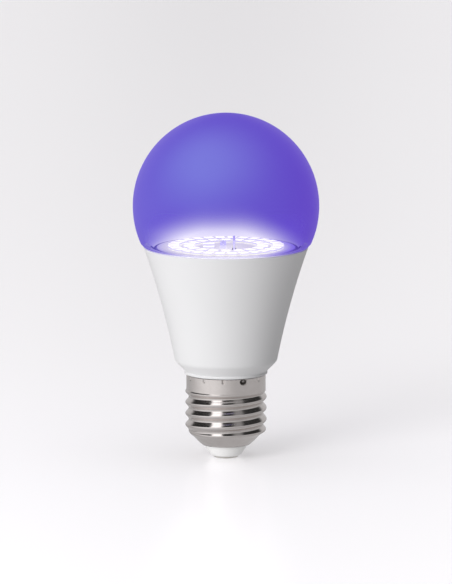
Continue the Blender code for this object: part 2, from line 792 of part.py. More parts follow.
def make_driver_board():
    """An upright board: narrow where it stands in the neck, wide above the shoulder."""
    curve = bpy.data.curves.new("driver_board", "CURVE")
    curve.dimensions = "2D"
    curve.fill_mode = "BOTH"
    curve.extrude = DRIVER_THICKNESS / 2
    neck = DRIVER_NECK_HALF
    wide = flare_radius(DRIVER_STEP) - SLEEVE_INSET - SLEEVE_WALL - 2 * DRIVER_EDGE_CLEARANCE
    slope = wide - neck
    outline = [
        (-neck, DRIVER_BOTTOM),
        (neck, DRIVER_BOTTOM),
        (neck, DRIVER_STEP - slope),
        (wide, DRIVER_STEP),
        (wide, DRIVER_TOP),
        (-wide, DRIVER_TOP),
        (-wide, DRIVER_STEP),
        (-neck, DRIVER_STEP - slope),
    ]
    spline = curve.splines.new("POLY")
    spline.points.add(len(outline) - 1)
    for spline_point, (x, z) in zip(spline.points, outline):
        spline_point.co = (x, z, 0.0, 1.0)
    spline.use_cyclic_u = True
    board = add_object("driver_board", curve, circuit_board())
    board.rotation_euler[0] = math.pi / 2
    return board


FRONT, BACK = -1, 1
BOARD_FACE = DRIVER_THICKNESS / 2 + GAP
INPUT_CAN_RADIUS = (SLEEVE_BORE - PART_CLEARANCE - BOARD_FACE) / 2
OUTPUT_CAN_RADIUS = 3.9 * MM


def on_board(side, x, z, depth):
    """Centre of a component of that depth, standing on one face of the driver board."""
    return Vector((x, side * (BOARD_FACE + depth / 2), z))


def make_chip(name, side, x, z, size, material):
    """A component of box shape. Its size is along X, away from the board, and along Z."""
    return box(name, size, on_board(side, x, z, size[1]), material, edge=0.25 * MM)


def make_can(name, side, x, z, radius, length, material):
    """An electrolytic capacitor lying along the board, with a groove rolled near one end."""
    low, high = -length / 2, length / 2
    groove = low + 1.6 * MM
    outline = [
        (0.0, high),
        (radius - 0.4 * MM, high),
        (radius, high - 0.4 * MM),
        (radius, groove + 0.5 * MM),
        (radius - 0.4 * MM, groove),
        (radius, groove - 0.5 * MM),
        (radius, low + 0.4 * MM),
        (radius - 0.4 * MM, low),
        (0.0, low),
    ]
    can = turned(name, outline, material, SMALL_SEGMENTS, closed=False)
    can.location = on_board(side, x, z, 2 * radius)
    return can


def make_transformer():
    """A ferrite core with two windows, and the winding that fills them round its middle leg."""
    x, z = -3.6 * MM, 42.0 * MM
    core_size = Vector((13.0, 5.0, 12.0)) * MM
    leg, window = 3.6 * MM, 2.9 * MM
    window_height = 7.8 * MM
    winding_depth = 9.0 * MM
    centre = on_board(FRONT, x, z, winding_depth)
    core = box("transformer_core", core_size, centre, ferrite())
    for side, word in ((-1, "left"), (1, "right")):
        place = centre + Vector((side * (leg + window) / 2, 0, 0))
        cutter_size = (window, core_size.y + 2 * CUT, window_height)
        boolean(core, "DIFFERENCE", box("core_window_" + word, cutter_size, place, collection=CUTTERS))
    outer_size = Vector((leg + 2 * window - 2 * GAP, winding_depth, window_height - 2 * GAP))
    winding = box("transformer_winding", outer_size, centre, copper_winding(), edge=0.8 * MM)
    hole_size = (leg + 2 * GAP, core_size.y + 2 * GAP, window_height + 2 * CUT)
    return boolean(winding, "DIFFERENCE", box("winding_hole", hole_size, centre, collection=CUTTERS))


def make_drum_choke():
    """A drum core lying on the board, with its winding between the flanges."""
    radius, core_radius, length, flange = 2.8 * MM, 1.3 * MM, 7.0 * MM, 1.0 * MM
    from_axis = SLEEVE_BORE - PART_CLEARANCE - radius
    x = -math.sqrt(from_axis**2 - (BOARD_FACE + radius) ** 2)
    place = on_board(BACK, x, 22.0 * MM, 2 * radius)
    low, high = -length / 2, length / 2
    drum = [
        (0.0, high),
        (radius, high),
        (radius, high - flange),
        (core_radius, high - flange),
        (core_radius, low + flange),
        (radius, low + flange),
        (radius, low),
        (0.0, low),
    ]
    core = turned("choke_core", drum, ferrite(), SMALL_SEGMENTS - 4, closed=False)
    core.location = place
    top, bottom = high - flange - GLUE, low + flange + GLUE
    inner, outer = core_radius + GLUE, radius - 0.3 * MM
    coil = [(outer, top), (outer, bottom), (inner, bottom), (inner, top)]
    winding = turned("choke_winding", coil, copper_winding(), SMALL_SEGMENTS - 4)
    winding.location = place
    return core


def make_fuse_resistor():
    radius, length = 1.5 * MM, 8.0 * MM
    place = on_board(BACK, 3.4 * MM, 20.5 * MM, 2 * radius)
    return cylinder("fuse_resistor", radius, length, place, "Z", resistor_green(), 12, edge=0.4 * MM)


def make_varistor():
    radius, thickness = 3.4 * MM, 2.8 * MM
    place = on_board(BACK, 4.6 * MM, 33.0 * MM, thickness)
    return cylinder("varistor", radius, thickness, place, "Y", varistor_blue(), 16, edge=0.6 * MM)


def make_driver():
    make_driver_board()
    make_can("input_capacitor", FRONT, 0.0, 22.6 * MM, INPUT_CAN_RADIUS, 14.0 * MM, capacitor_sleeve())
    make_can("output_capacitor", FRONT, 7.2 * MM, 48.6 * MM, OUTPUT_CAN_RADIUS, 11.0 * MM, capacitor_sleeve())
    make_transformer()
    make_drum_choke()
    make_fuse_resistor()
    make_varistor()
    make_chip("bridge_rectifier", BACK, -3.4 * MM, 31.6 * MM, Vector((4.8, 2.4, 4.0)) * MM, black_plastic())
    make_chip("driver_chip", BACK, -3.0 * MM, 41.5 * MM, Vector((5.0, 1.5, 4.0)) * MM, black_plastic())
    make_chip("rectifier_diode", BACK, 5.0 * MM, 43.0 * MM, Vector((2.6, 2.2, 4.4)) * MM, black_plastic())
    make_chip("film_capacitor", BACK, -5.4 * MM, 51.0 * MM, Vector((10.0, 5.0, 8.5)) * MM, film_yellow())


# ---------------------------------------------------------------- radio module and header


def make_radio_module():
    top = BOARD_TOP + RADIO_ABOVE_BOARD
    block_between(
        "radio_board",
        (RADIO_X - RADIO_THICKNESS / 2, -RADIO_WIDTH / 2, RADIO_BOTTOM),
        (RADIO_X + RADIO_THICKNESS / 2, RADIO_WIDTH / 2, top),
        radio_board_white(),
    )
    shield_low = RADIO_BOTTOM + 0.6 * MM
    shield_face = RADIO_X + RADIO_THICKNESS / 2 + GLUE
    block_between(
        "radio_shield",
        (shield_face, -SHIELD_WIDTH / 2, shield_low),
        (shield_face + SHIELD_THICKNESS, SHIELD_WIDTH / 2, shield_low + SHIELD_HEIGHT),
        tinned_steel(),
        edge=0.2 * MM,
    )


def make_header():
    """A strip of pins that carries the LED current up from the driver, through the LED board."""
    bottom = BOARD_TOP + GLUE
    span = (HEADER_PINS - 1) * HEADER_PITCH
    strip = block_between(
        "led_header",
        (HEADER_X - HEADER_THICKNESS / 2, -span / 2 - HEADER_PITCH / 2, bottom),
        (HEADER_X + HEADER_THICKNESS / 2, span / 2 + HEADER_PITCH / 2, bottom + HEADER_HEIGHT),
        led_white(),
    )
    mesh = bpy.data.meshes.new("pin_holes")
    bm = bmesh.new()
    hole = PIN_SIZE + 2 * GLUE
    rows = [-span / 2 + i * HEADER_PITCH for i in range(HEADER_PINS)]
    for y in rows:
        verts = bmesh.ops.create_cube(bm, size=1.0)["verts"]
        bmesh.ops.scale(bm, vec=(hole, hole, HEADER_HEIGHT + 2 * CUT), verts=verts)
        bmesh.ops.translate(bm, vec=(HEADER_X, y, bottom + HEADER_HEIGHT / 2), verts=verts)
    bm.to_mesh(mesh)
    bm.free()
    boolean(strip, "DIFFERENCE", add_object("pin_holes", mesh, collection=CUTTERS))
    pin_low, pin_high = DRIVER_TOP + GAP, bottom + HEADER_HEIGHT + PIN_ABOVE_HEADER
    for number, y in enumerate(rows, start=1):
        box(
            f"header_pin_{number}",
            (PIN_SIZE, PIN_SIZE, pin_high - pin_low),
            (HEADER_X, y, (pin_low + pin_high) / 2),
            tinned_steel(),
        )


# ---------------------------------------------------------------- wires


def make_live_wire():
    """From the driver board's lower end to the top of the centre contact's shank."""
    end = SHANK_TOP + GLUE
    start = BOARD_FACE + LIVE_WIRE_RADIUS
    points = [
        (-4.0 * MM, start, DRIVER_BOTTOM + 2.4 * MM),
        (-4.0 * MM, start + 0.2 * MM, DRIVER_BOTTOM - 0.2 * MM),
        (-2.4 * MM, start, 11.4 * MM),
        (-0.5 * MM, 0.4 * MM, 9.6 * MM),
        (0.0, 0.0, end + 0.8 * MM),
        (0.0, 0.0, end),
    ]
    return wire("live_wire", points, LIVE_WIRE_RADIUS, wire_insulation())


def make_neutral_wire():
    """Out under the neck and up its groove, to the stake that pinches it against the shell."""
    lane = NECK_RADIUS - NEUTRAL_WIRE_RADIUS
    turn = STAKE_ANGLE
    start = BOARD_FACE + NEUTRAL_WIRE_RADIUS
    points = [
        (5.0 * MM, -start, DRIVER_BOTTOM + 2.2 * MM),
        (5.0 * MM, -start - 0.3 * MM, DRIVER_BOTTOM - 0.2 * MM),
        around(8.2 * MM, turn + 0.25, NECK_BOTTOM - 0.4 * MM),
        around(9.8 * MM, turn + 0.05, NECK_BOTTOM - 1.2 * MM),
        around(lane - 0.3 * MM, turn, NECK_BOTTOM - 0.8 * MM),
        around(lane, turn, 13.0 * MM),
        around(lane, turn, 17.0 * MM),
        around(lane, turn, 21.0 * MM),
        around(lane, turn, CRIMP_HEIGHT - 0.4 * MM),
    ]
    return wire("neutral_wire", points, NEUTRAL_WIRE_RADIUS, tinned_steel())


def make_bulb():
    make_globe()
    make_globe_seal()
    make_housing()
    make_screw_shell()
    make_cap_insulator()
    make_centre_contact()
    make_heat_sink()
    pad_radius = BOARD_RADIUS - 0.8 * MM
    make_board_disc("thermal_pad", pad_radius, PAD_BOTTOM, PAD_BOTTOM + PAD_THICKNESS, thermal_pad_grey())
    make_board_disc("led_board", BOARD_RADIUS, BOARD_BOTTOM, BOARD_TOP, white_plastic())
    make_led_ring("led_string_outer", OUTER_LEDS, OUTER_LED_RADIUS)
    make_led_ring("led_string_middle", MIDDLE_LEDS, MIDDLE_LED_RADIUS)
    make_led_pair()
    make_driver_sleeve()
    make_driver()
    make_radio_module()
    make_header()
    make_live_wire()
    make_neutral_wire()


make_bulb()
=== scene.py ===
"""Looks of the smart LED bulb: each piece as a finished shape with its own material, on a plain pale floor.

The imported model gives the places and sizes. Lengths are in metres, written as a number of MM, and shader
maths works in millimetres of Object coordinates. +Z is up, -Y is the front, and the contact is at the origin.
"""

import math

import bmesh
import bpy
from mathutils import Matrix, Vector


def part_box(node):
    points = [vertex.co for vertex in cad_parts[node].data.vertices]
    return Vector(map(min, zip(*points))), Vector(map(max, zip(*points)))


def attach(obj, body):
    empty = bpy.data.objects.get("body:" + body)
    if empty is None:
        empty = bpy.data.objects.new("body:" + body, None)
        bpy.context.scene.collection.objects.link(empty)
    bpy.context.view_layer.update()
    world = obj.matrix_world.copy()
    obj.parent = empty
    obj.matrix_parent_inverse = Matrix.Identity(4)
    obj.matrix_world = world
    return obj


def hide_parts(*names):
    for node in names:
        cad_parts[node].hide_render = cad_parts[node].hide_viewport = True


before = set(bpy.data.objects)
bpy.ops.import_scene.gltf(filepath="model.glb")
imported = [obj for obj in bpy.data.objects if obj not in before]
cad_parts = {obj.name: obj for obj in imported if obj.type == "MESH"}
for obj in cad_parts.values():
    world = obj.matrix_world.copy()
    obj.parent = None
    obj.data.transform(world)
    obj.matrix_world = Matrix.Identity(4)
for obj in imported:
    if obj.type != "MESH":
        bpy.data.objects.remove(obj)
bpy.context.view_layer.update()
SCENE = bpy.context.scene
MM = 0.001

# Sizes that the frame gives
GLOBE_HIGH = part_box("globe")[1]
HOUSING_LOW, HOUSING_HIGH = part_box("housing")
SHELL_LOW, SHELL_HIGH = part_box("screw_shell")
PLUG_LOW, PLUG_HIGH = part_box("cap_insulator")
CONTACT_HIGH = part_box("centre_contact")[1]
BOARD_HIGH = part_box("led_board")[1]

# Globe and housing
SEAM_GAP = 0.25 * MM
SEAM = HOUSING_HIGH.z + SEAM_GAP / 2
GLOBE_RADIUS = GLOBE_HIGH.x
GLOBE_CENTRE = GLOBE_HIGH.z - GLOBE_RADIUS
GLOBE_WALL = 1.5 * MM
GLOBE_FOOT_RADIUS = 27.45 * MM
PAINTED_HIGHLIGHT_SPOT = (-6.0 * MM, -24.5 * MM, 99.5 * MM)  # centre of the painted highlight, high on the globe's front left
RIM_RADIUS = 26.5 * MM
SPIGOT_RADIUS = 24.2 * MM
SPIGOT_BORE = 23.1 * MM
SHOULDER_HEIGHT = 31.5 * MM
SHOULDER_RADIUS = 16.4 * MM
FLARE_LOWER_SLOPE = 0.194
HOUSING_WALL = 1.3 * MM
SOCKET_RADIUS = 24.45 * MM
SOCKET_FLOOR = SEAM - 3.5 * MM
LIP_RADIUS = 13.35 * MM
LIP_BOTTOM = SHELL_HIGH.z + 0.25 * MM
LIP_TOP = LIP_BOTTOM + 0.9 * MM
NECK_RADIUS = 11.4 * MM
NECK_UPPER_RADIUS = 12.15 * MM
NECK_BORE = 9.9 * MM

# Screw shell
THREAD_CREST = SHELL_HIGH.x
THREAD_ROOT = 12.0 * MM
THREAD_PITCH = 3.629 * MM
THREAD_START = 8.9 * MM
THREAD_TOP = 20.9 * MM
RING_RADIUS = 12.75 * MM
RING_BOTTOM = 21.8 * MM
BOWL_TOP = 8.6 * MM
BOWL_ROUNDING = 0.9
SHELL_BOTTOM_RADIUS = 7.75 * MM
SHELL_WALL = 0.35 * MM
CRIMPS = 12
CRIMP_PHASE = math.radians(-94)
CRIMP_HALF_WIDTH = 0.40 * MM
CRIMP_LENGTH = 1.35 * MM
CRIMP_DEPTH = 0.45 * MM
STAKE_INDEX = 1
STAKE_BELOW_TOP = 0.85 * MM
STAKE_DEPTH = 0.70 * MM
STAKE_HALF_WIDTH = 1.5 * MM
STAKE_HALF_HEIGHT = 1.15 * MM
CURL_RISE = 0.25 * MM
CURL_HALF_WIDTH = 0.7 * MM
CURL_HALF_HEIGHT = 0.6 * MM

# LED packages
LED_LENGTH = 3.5 * MM
LED_WIDTH = 2.8 * MM
LED_HEIGHT = 0.45 * MM
LED_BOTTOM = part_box("led_string_outer")[1].z - LED_HEIGHT
LED_RINGS = (("outer", 28, 16.9 * MM), ("middle", 18, 11.9 * MM))
LED_TRACK_HALF = 0.8 * MM
INNER_PAIR_X = -5.5 * MM
INNER_PAIR_Y = 3.2 * MM

# Camera
ELEVATION = math.radians(9.0)
DISTANCE = 3.0
AIM = Vector((0, 0, 0.0537))
FRAME_HEIGHT = 0.18756  # the height that the frame covers at the bulb


# ---------------- shader maths


class Wire:
    """An output socket that Python's operators work on: each operator adds the Math node that it needs."""

    def __init__(self, nodes, socket):
        self.nodes = nodes
        self.socket = socket

    def maths(self, operation, *values, clamp=False):
        sockets = {number: value for number, value in enumerate(values)}
        return self.nodes.add("ShaderNodeMath", {"operation": operation, "use_clamp": clamp}, sockets)

    def __add__(self, other):
        return self.maths("ADD", self, other)

    __radd__ = __add__

    def __sub__(self, other):
        return self.maths("SUBTRACT", self, other)

    def __rsub__(self, other):
        return self.maths("SUBTRACT", other, self)

    def __mul__(self, other):
        return self.maths("MULTIPLY", self, other)

    __rmul__ = __mul__

    def __neg__(self):
        return self.maths("MULTIPLY", self, -1.0)

    def __truediv__(self, other):
        return self.maths("DIVIDE", self, other)

    def __pow__(self, other):
        return self.maths("POWER", self, other)

    def clamped(self):
        return self.maths("ADD", self, 0.0, clamp=True)

    def sine(self):
        return self.maths("SINE", self)

    def absolute(self):
        return self.maths("ABSOLUTE", self)

    def fraction(self):
        return self.maths("FRACT", self)

    def above(self, edge):
        return self.maths("GREATER_THAN", self, edge)

    def rise(self, low, high):
        """0 below low, 1 above high, smooth between."""
        settings = {"interpolation_type": "SMOOTHSTEP"}
        sockets = {"Value": self, "From Min": low, "From Max": high}
        return self.nodes.add("ShaderNodeMapRange", settings, sockets, "Result")

    def band(self, low, high, edge):
        """1 between low and high, 0 outside, with soft edges."""
        return self.rise(low - edge, low + edge) * (1 - self.rise(high - edge, high + edge))

    def between(self, colour, other):
        """This wire's mix of two colours: 0 is the first and 1 the other."""
        sockets = {"Factor": self, 6: rgba(colour), 7: rgba(other)}
        return self.nodes.add("ShaderNodeMix", {"data_type": "RGBA"}, sockets, 2)


class Nodes:
    """Adds nodes to a node tree."""

    def __init__(self, tree):
        self.tree = tree

    def add(self, kind, settings=None, sockets=None, output=0):
        """A node of a kind, with its settings first and then the values or wires of its sockets."""
        made = self.tree.nodes.new(kind)
        for key, value in (settings or {}).items():
            setattr(made, key, value)
        for key, value in (sockets or {}).items():
            self.feed(made.inputs[key], value)
        return Wire(self, made.outputs[output])

    def feed(self, socket, value):
        if isinstance(value, Wire):
            self.tree.links.new(value.socket, socket)
        else:
            socket.default_value = value

    def place(self, centre=(0, 0, 0), turn=(0, 0, 0)):
        """Object coordinates in millimetres, from a centre and a turn."""
        coordinates = self.add("ShaderNodeTexCoord", output="Object")
        sockets = {"Vector": coordinates, "Location": centre, "Rotation": turn, "Scale": (MM,) * 3}
        return self.add("ShaderNodeMapping", {"vector_type": "TEXTURE"}, sockets)

    def parts(self, vector):
        """A vector's x, y and z, as three wires."""
        split = self.add("ShaderNodeSeparateXYZ", None, {"Vector": vector})
        return [Wire(self, output) for output in split.socket.node.outputs]

    def where(self):
        """Object coordinates in millimetres, whole and as x, y and z."""
        point = self.place()
        return (point, *self.parts(point))

    def joined(self, x, y, z):
        return self.add("ShaderNodeCombineXYZ", None, {"X": x, "Y": y, "Z": z})

    def noise(self, vector, scale, detail=2.0, roughness=0.5):
        sockets = {"Vector": vector, "Scale": scale, "Detail": detail, "Roughness": roughness}
        return self.add("ShaderNodeTexNoise", None, sockets, "Fac")

    def bump(self, height, strength, distance):
        """A normal from a height. The distance is how deep the height's full range looks."""
        sockets = {"Height": height, "Strength": strength, "Distance": distance}
        return self.add("ShaderNodeBump", None, sockets)


class Finish(Nodes):
    """A material made of a Principled shader and the nodes that feed it."""

    def __init__(self, name, **plain):
        self.material = bpy.data.materials.new(name)
        self.material.use_nodes = True
        super().__init__(self.material.node_tree)
        self.shader = self.tree.nodes["Principled BSDF"]
        self.output = self.tree.nodes["Material Output"]
        for key, value in plain.items():
            self.set(key.replace("_", " ").title().replace("Ior", "IOR"), value)

    def set(self, socket, value):
        self.feed(self.shader.inputs[socket], rgba(value) if socket.endswith("Color") else value)

    def surfaced(self, colour, roughness, relief=None):
        """Feeds the colour, the roughness and a relief (height, strength, depth), and gives the material."""
        self.set("Base Color", colour)
        self.set("Roughness", roughness)
        if relief:
            self.set("Normal", self.bump(*relief))
        return self.material

    def mix_surface(self, factor, other):
        """Shows the other shader where the factor is 1, and this finish where it is 0."""
        shader = Wire(self, self.shader.outputs[0])
        shown = self.add("ShaderNodeMixShader", None, {0: factor, 1: shader, 2: other})
        self.feed(self.output.inputs["Surface"], shown)


def rgba(colour):
    """A colour as four numbers. A wire stays as it is."""
    if isinstance(colour, Wire):
        return colour
    return (*colour[:3], 1.0)


def distance(x, y):
    return (x * x + y * y) ** 0.5


def mottled(name, scale, shades, roughness, relief=None, painted_glow=None, detail=3.0, coarse=0.5, **plain):
    """A finish that one noise shades: its colour, its roughness, and its relief and painted glow if it has them.
    """
    finish = Finish(name, **plain)
    mottle = finish.noise(finish.place(), scale, detail, coarse)
    smoothest, roughest = roughness
    # Painted glow: an emission colour that stands in for light falling on the piece.
    if painted_glow:
        finish.set("Emission Color", mottle.between(*painted_glow))
        finish.set("Emission Strength", 1.0)
    relief = relief and (mottle, *relief)
    return finish.surfaced(mottle.between(*shades), mottle * (roughest - smoothest) + smoothest, relief)


FINISHES = {}


def finish_of(make):
    """The material that a function makes, made once."""
    if make not in FINISHES:
        FINISHES[make] = make()
    return FINISHES[make]


# ---------------- finishes that show


# Painted glow and shade of the globe: emission colours that stand in for the LEDs' light in it, and a dark one for
# the gap under its foot.
SKIN_PAINTED_GLOW_LOW = (0.096, 0.026, 0.475)
SKIN_PAINTED_GLOW_HIGH = (0.092, 0.018, 0.47)
INNER_PAINTED_GLOW = (0.122, 0.064, 0.54)
PAINTED_GLOW_WHITE = (1.08, 1.04, 1.06)
GAP_PAINTED_SHADE = (0.03, 0.02, 0.16)


def globe_skin():
    """The globe's outer face: nearly clear at the foot, more and more diffusing up the dome and edge on. Its
    emission is a painted glow for the LEDs' light, and a lighter patch high at the front left is a painted
    highlight.
    """
    finish = Finish("globe_skin", specular_ior_level=0.5, ior=1.2, emission_strength=1.0)
    point, x, y, z = finish.where()
    foot = SEAM / MM
    body = z.rise(foot + 2.2, foot + 18.2)
    drift = finish.noise(point, 0.035, 1.0)
    grain = finish.noise(point, 5.0, 3.0)
    edge_on = finish.add("ShaderNodeLayerWeight", None, {"Blend": 0.5}, "Facing")
    leaning = 1 - z.rise(foot + 1.0, foot + 6.0)
    haze = (edge_on - leaning * 0.12).rise(0.16, 0.72) * (1 - body) * 0.86
    finish.set("Alpha", (body * 0.82 + haze + 0.08).clamped())
    # Painted highlight: the base colour is lighter round a spot high at the front left, with a faint random drift.
    from_x, from_y, from_z = finish.parts(finish.place(PAINTED_HIGHLIGHT_SPOT))
    away = (from_x * from_x * 0.6 + from_y * from_y + from_z * from_z) ** 0.5
    drift_and_painted_highlight = (drift * 0.2 + (1 - away.rise(2.0, 20.0)) * 0.8).clamped()
    # Painted glow: the emission stands in for the LEDs' light scattered in the globe.
    light = (drift * 0.5 + body * 0.5).between(SKIN_PAINTED_GLOW_LOW, SKIN_PAINTED_GLOW_HIGH)
    finish.set("Emission Color", light)
    colour = drift_and_painted_highlight.between((0.045, 0.078, 0.14), (0.092, 0.165, 0.22))
    return finish.surfaced(colour, grain * 0.12 + 0.34, (grain, 0.05, 0.02 * MM))


def globe_inside():
    """The globe's inner face, with a painted glow for the LEDs' light that fades up the wall, and painted shade in
    the gap under the seam. It is clear from behind, so the near wall shows the far one.
    """
    plain = {"base_color": (0.06, 0.07, 0.16), "roughness": 0.5, "specular_ior_level": 0.2}
    finish = Finish("globe_inside", emission_strength=1.0, **plain)
    x, y, z = finish.parts(finish.place())
    seam = SEAM / MM
    # Painted glow: emission that is whitest near the board and reaches furthest up near the middle.
    reach = 11.5 - x.rise(3.0, 26.0) * 8.0 - (-x).rise(6.0, 27.0) * 5.5
    painted_glow = ((reach + seam - z) / 10.2).clamped() ** 1.9
    # Painted shade: a dark emission in the gap just under the seam.
    painted_gap_mask = 1 - z.rise(seam - 0.70, seam - 0.35)
    finish.set("Emission Color", painted_gap_mask.between(painted_glow.between(INNER_PAINTED_GLOW, PAINTED_GLOW_WHITE), GAP_PAINTED_SHADE))
    behind = finish.add("ShaderNodeNewGeometry", output="Backfacing")
    clear = finish.add("ShaderNodeBsdfTransparent")
    finish.mix_surface(behind, clear)
    finish.material.use_backface_culling = True
    return finish.material


def housing_white():
    """White moulded plastic with a fine satin surface."""
    finish = Finish("housing_white", specular_ior_level=0.4)
    point = finish.place()
    cloud = finish.noise(point, 0.05, 2.0)
    grain = finish.noise(point, 4.5, 4.0, 0.6)
    colour = cloud.between((0.79, 0.79, 0.80), (0.83, 0.83, 0.835))
    return finish.surfaced(colour, grain * 0.16 + 0.34, (grain, 0.10, 0.03 * MM))


def nickel_plate():
    """Bright nickel on rolled sheet, with faint marks of rolling round the axis and painted shade in the stake's
    dent.
    """
    finish = Finish("nickel_plate")
    point, x, y, z = finish.where()
    rolled = finish.noise(finish.joined(x * 0.15, y * 0.15, z * 5.0), 1.2, 4.0, 0.6)
    cloud = finish.noise(point, 0.35, 3.0)
    plate = cloud.between((0.66, 0.62, 0.60), (0.76, 0.72, 0.70))
    # Painted shade: the stake's dent is near black, lighter at a spot near its middle, and matt and less metallic
    # there.
    turn = CRIMP_PHASE + STAKE_INDEX * math.tau / CRIMPS
    stake = around(RING_RADIUS, turn, SHELL_HIGH.z - STAKE_BELOW_TOP)
    depth, along, up = finish.parts(finish.place(stake, (0, 0, turn)))
    from_stake = (depth * depth * 0.1 + along * along * 0.6 + up * up * 1.1) ** 0.5
    from_spot = distance(along * 0.84 - 0.17, up - 0.2)
    dent_painted_shade = (1 - from_stake.rise(0.80, 1.10)) * (from_spot.rise(0.20, 0.50) * 0.65 + 0.35)
    finish.set("Metallic", 1 - dent_painted_shade * 0.9)
    colour = dent_painted_shade.between(plate, (0.03, 0.025, 0.022))
    return finish.surfaced(colour, rolled * 0.10 + cloud * 0.06 + dent_painted_shade * 0.50 + 0.08, (rolled, 0.06, 0.02 * MM))


def plug_white():
    """The white plug of the cap, a slightly glossy moulding, with a faint painted glow that brightens it."""
    # Painted glow: a faint emission that brightens the plug.
    painted_glow = ((0.068, 0.066, 0.064), (0.078, 0.076, 0.074))
    shades = ((0.84, 0.835, 0.83), (0.89, 0.885, 0.88))
    return mottled("plug_white", 2.2, shades, (0.22, 0.36), (0.10, 0.05 * MM), painted_glow)


def contact_metal():
    """The contact's plated face, turned and slightly worn by lampholders."""
    finish = Finish("contact_metal", metallic=1.0)
    point, x, y, z = finish.where()
    rings = (distance(x, y) * 26.0).sine() * 0.5 + 0.5
    wear = finish.noise(point, 0.9, 4.0).rise(0.45, 0.62)
    colour = wear.between((0.80, 0.78, 0.75), (0.70, 0.67, 0.62))
    return finish.surfaced(colour, rings * 0.12 + wear * 0.12 + 0.16, (rings, 0.15, 0.02 * MM))


def solder_mask():
    """White solder mask over the board's copper, which shows as low relief. A painted glow stands for the LEDs'
    light on its middle, and painted shade darkens its outer edge.
    """
    finish = Finish("solder_mask", emission_strength=1.0)
    point, x, y, z = finish.where()
    from_axis = distance(x, y)
    relief = from_axis.band(8.4, 9.3, 0.06) + from_axis.band(14.0, 14.6, 0.06) + from_axis.band(20.0, 20.4, 0.06)
    grain = finish.noise(point, 5.0, 3.0)
    # Painted glow on the middle of the board, and painted shade on its outer edge.
    lit = 1 - distance(x + 1.6, y * 0.85).rise(17.5, 25.0)
    edge_painted_shade = from_axis.rise(22.05, 22.35)
    lighted = lit.between((0.13, 0.08, 0.55), (0.62, 0.60, 0.52))
    finish.set("Emission Color", edge_painted_shade.between(lighted, (0.02, 0.01, 0.10)))
    colour = relief.clamped().between((0.34, 0.34, 0.34), (0.30, 0.30, 0.31))
    return finish.surfaced(colour, grain * 0.12 + 0.30, (relief + grain * 0.15, 0.4, 0.04 * MM))


def led_body():
    """The white moulded walls of an LED package, with a painted glow for the light of its window."""
    painted_glow = ((0.36, 0.35, 0.40), (0.42, 0.41, 0.46))
    return mottled("led_body", 3.0, ((0.66, 0.66, 0.74), (0.72, 0.72, 0.80)), (0.33, 0.37), painted_glow=painted_glow, detail=2.0)


def led_light():
    """The lit window of an LED package and the rim that it floods."""
    finish = Finish("led_light", base_color=(0.95, 0.93, 0.85), roughness=0.2, emission_strength=1.15)
    grain = finish.noise(finish.place(), 1.5, 1.0)
    finish.set("Emission Color", grain.between((0.95, 0.94, 1.0), (1.0, 1.0, 1.0)))
    return finish.material


# ---------------- finishes inside


def silicone_bead():
    """Translucent white sealant, laid as a bead."""
    shades = ((0.76, 0.76, 0.75), (0.86, 0.86, 0.84))
    return mottled("silicone_bead", 0.6, shades, (0.35, 0.55), (0.4, 0.1 * MM), detail=2.0, subsurface_weight=0.1)


def pressed_aluminium():
    """Drawn sheet with fine lines up its wall, where the die scored it."""
    finish = Finish("pressed_aluminium", metallic=1.0)
    x, y, z = finish.parts(finish.place())
    drawn = finish.noise(finish.joined(x * 3.0, y * 3.0, z * 0.08), 1.5, 4.0, 0.6)
    cloud = finish.noise(finish.joined(x, y, z), 0.12, 2.0)
    colour = cloud.between((0.66, 0.67, 0.69), (0.78, 0.79, 0.81))
    return finish.surfaced(colour, drawn * 0.22 + cloud * 0.10 + 0.18, (drawn, 0.15, 0.03 * MM))


def filled_silicone():
    """A soft grey pad, speckled by its filler."""
    finish = Finish("filled_silicone")
    point = finish.place()
    speck = finish.noise(point, 6.0, 3.0, 0.7).rise(0.52, 0.66)
    cloud = finish.noise(point, 0.2, 2.0)
    colour = (speck * 0.6 + cloud * 0.4).between((0.40, 0.43, 0.47), (0.60, 0.62, 0.65))
    return finish.surfaced(colour, 0.85 - speck * 0.15, (speck, 0.3, 0.04 * MM))


def sleeve_plastic():
    """Off-white flame-proof plastic with a matt, spark-eroded surface."""
    finish = Finish("sleeve_plastic")
    point = finish.place()
    grain = finish.noise(point, 3.5, 4.0, 0.65)
    cloud = finish.noise(point, 0.06, 2.0)
    colour = cloud.between((0.71, 0.70, 0.66), (0.77, 0.765, 0.74))
    return finish.surfaced(colour, grain * 0.20 + 0.45, (grain, 0.25, 0.05 * MM))


def tracks_of(x, z, pitch, width):
    """Printed tracks: straight runs across and along a board, broken up cell by cell."""
    across, along = ((side / pitch).fraction().band(0.5 - width, 0.5 + width, 0.02) for side in (x, z))
    cells = ((x / (pitch * 3.7)).sine() * (z / (pitch * 2.9)).sine()).rise(-0.05, 0.05)
    return (across * cells + along * (1 - cells)).clamped()


def green_board():
    """Green solder mask over glass cloth, with raised tracks and tinned pads."""
    finish = Finish("green_board")
    point, x, y, z = finish.where()
    grid = 2.54
    tracks = tracks_of(x, z, grid, 0.17)
    weave = (x * 9.0).sine() * (z * 9.0).sine() * 0.5 + 0.5
    pad_x, pad_z = (((side / grid).fraction() - 0.5) * grid for side in (x, z))
    pads = (1 - distance(pad_x, pad_z).rise(0.52, 0.58)) * tracks
    pads = pads * finish.noise(point, 0.35, 1.0).above(0.52)
    mask = (tracks * 0.7 + weave * 0.15).between((0.030, 0.150, 0.065), (0.075, 0.30, 0.13))
    finish.set("Metallic", pads)
    colour = pads.between(mask, (0.72, 0.72, 0.70))
    return finish.surfaced(colour, 0.42 - tracks * 0.08 - pads * 0.08, (tracks + weave * 0.12, 0.5, 0.05 * MM))


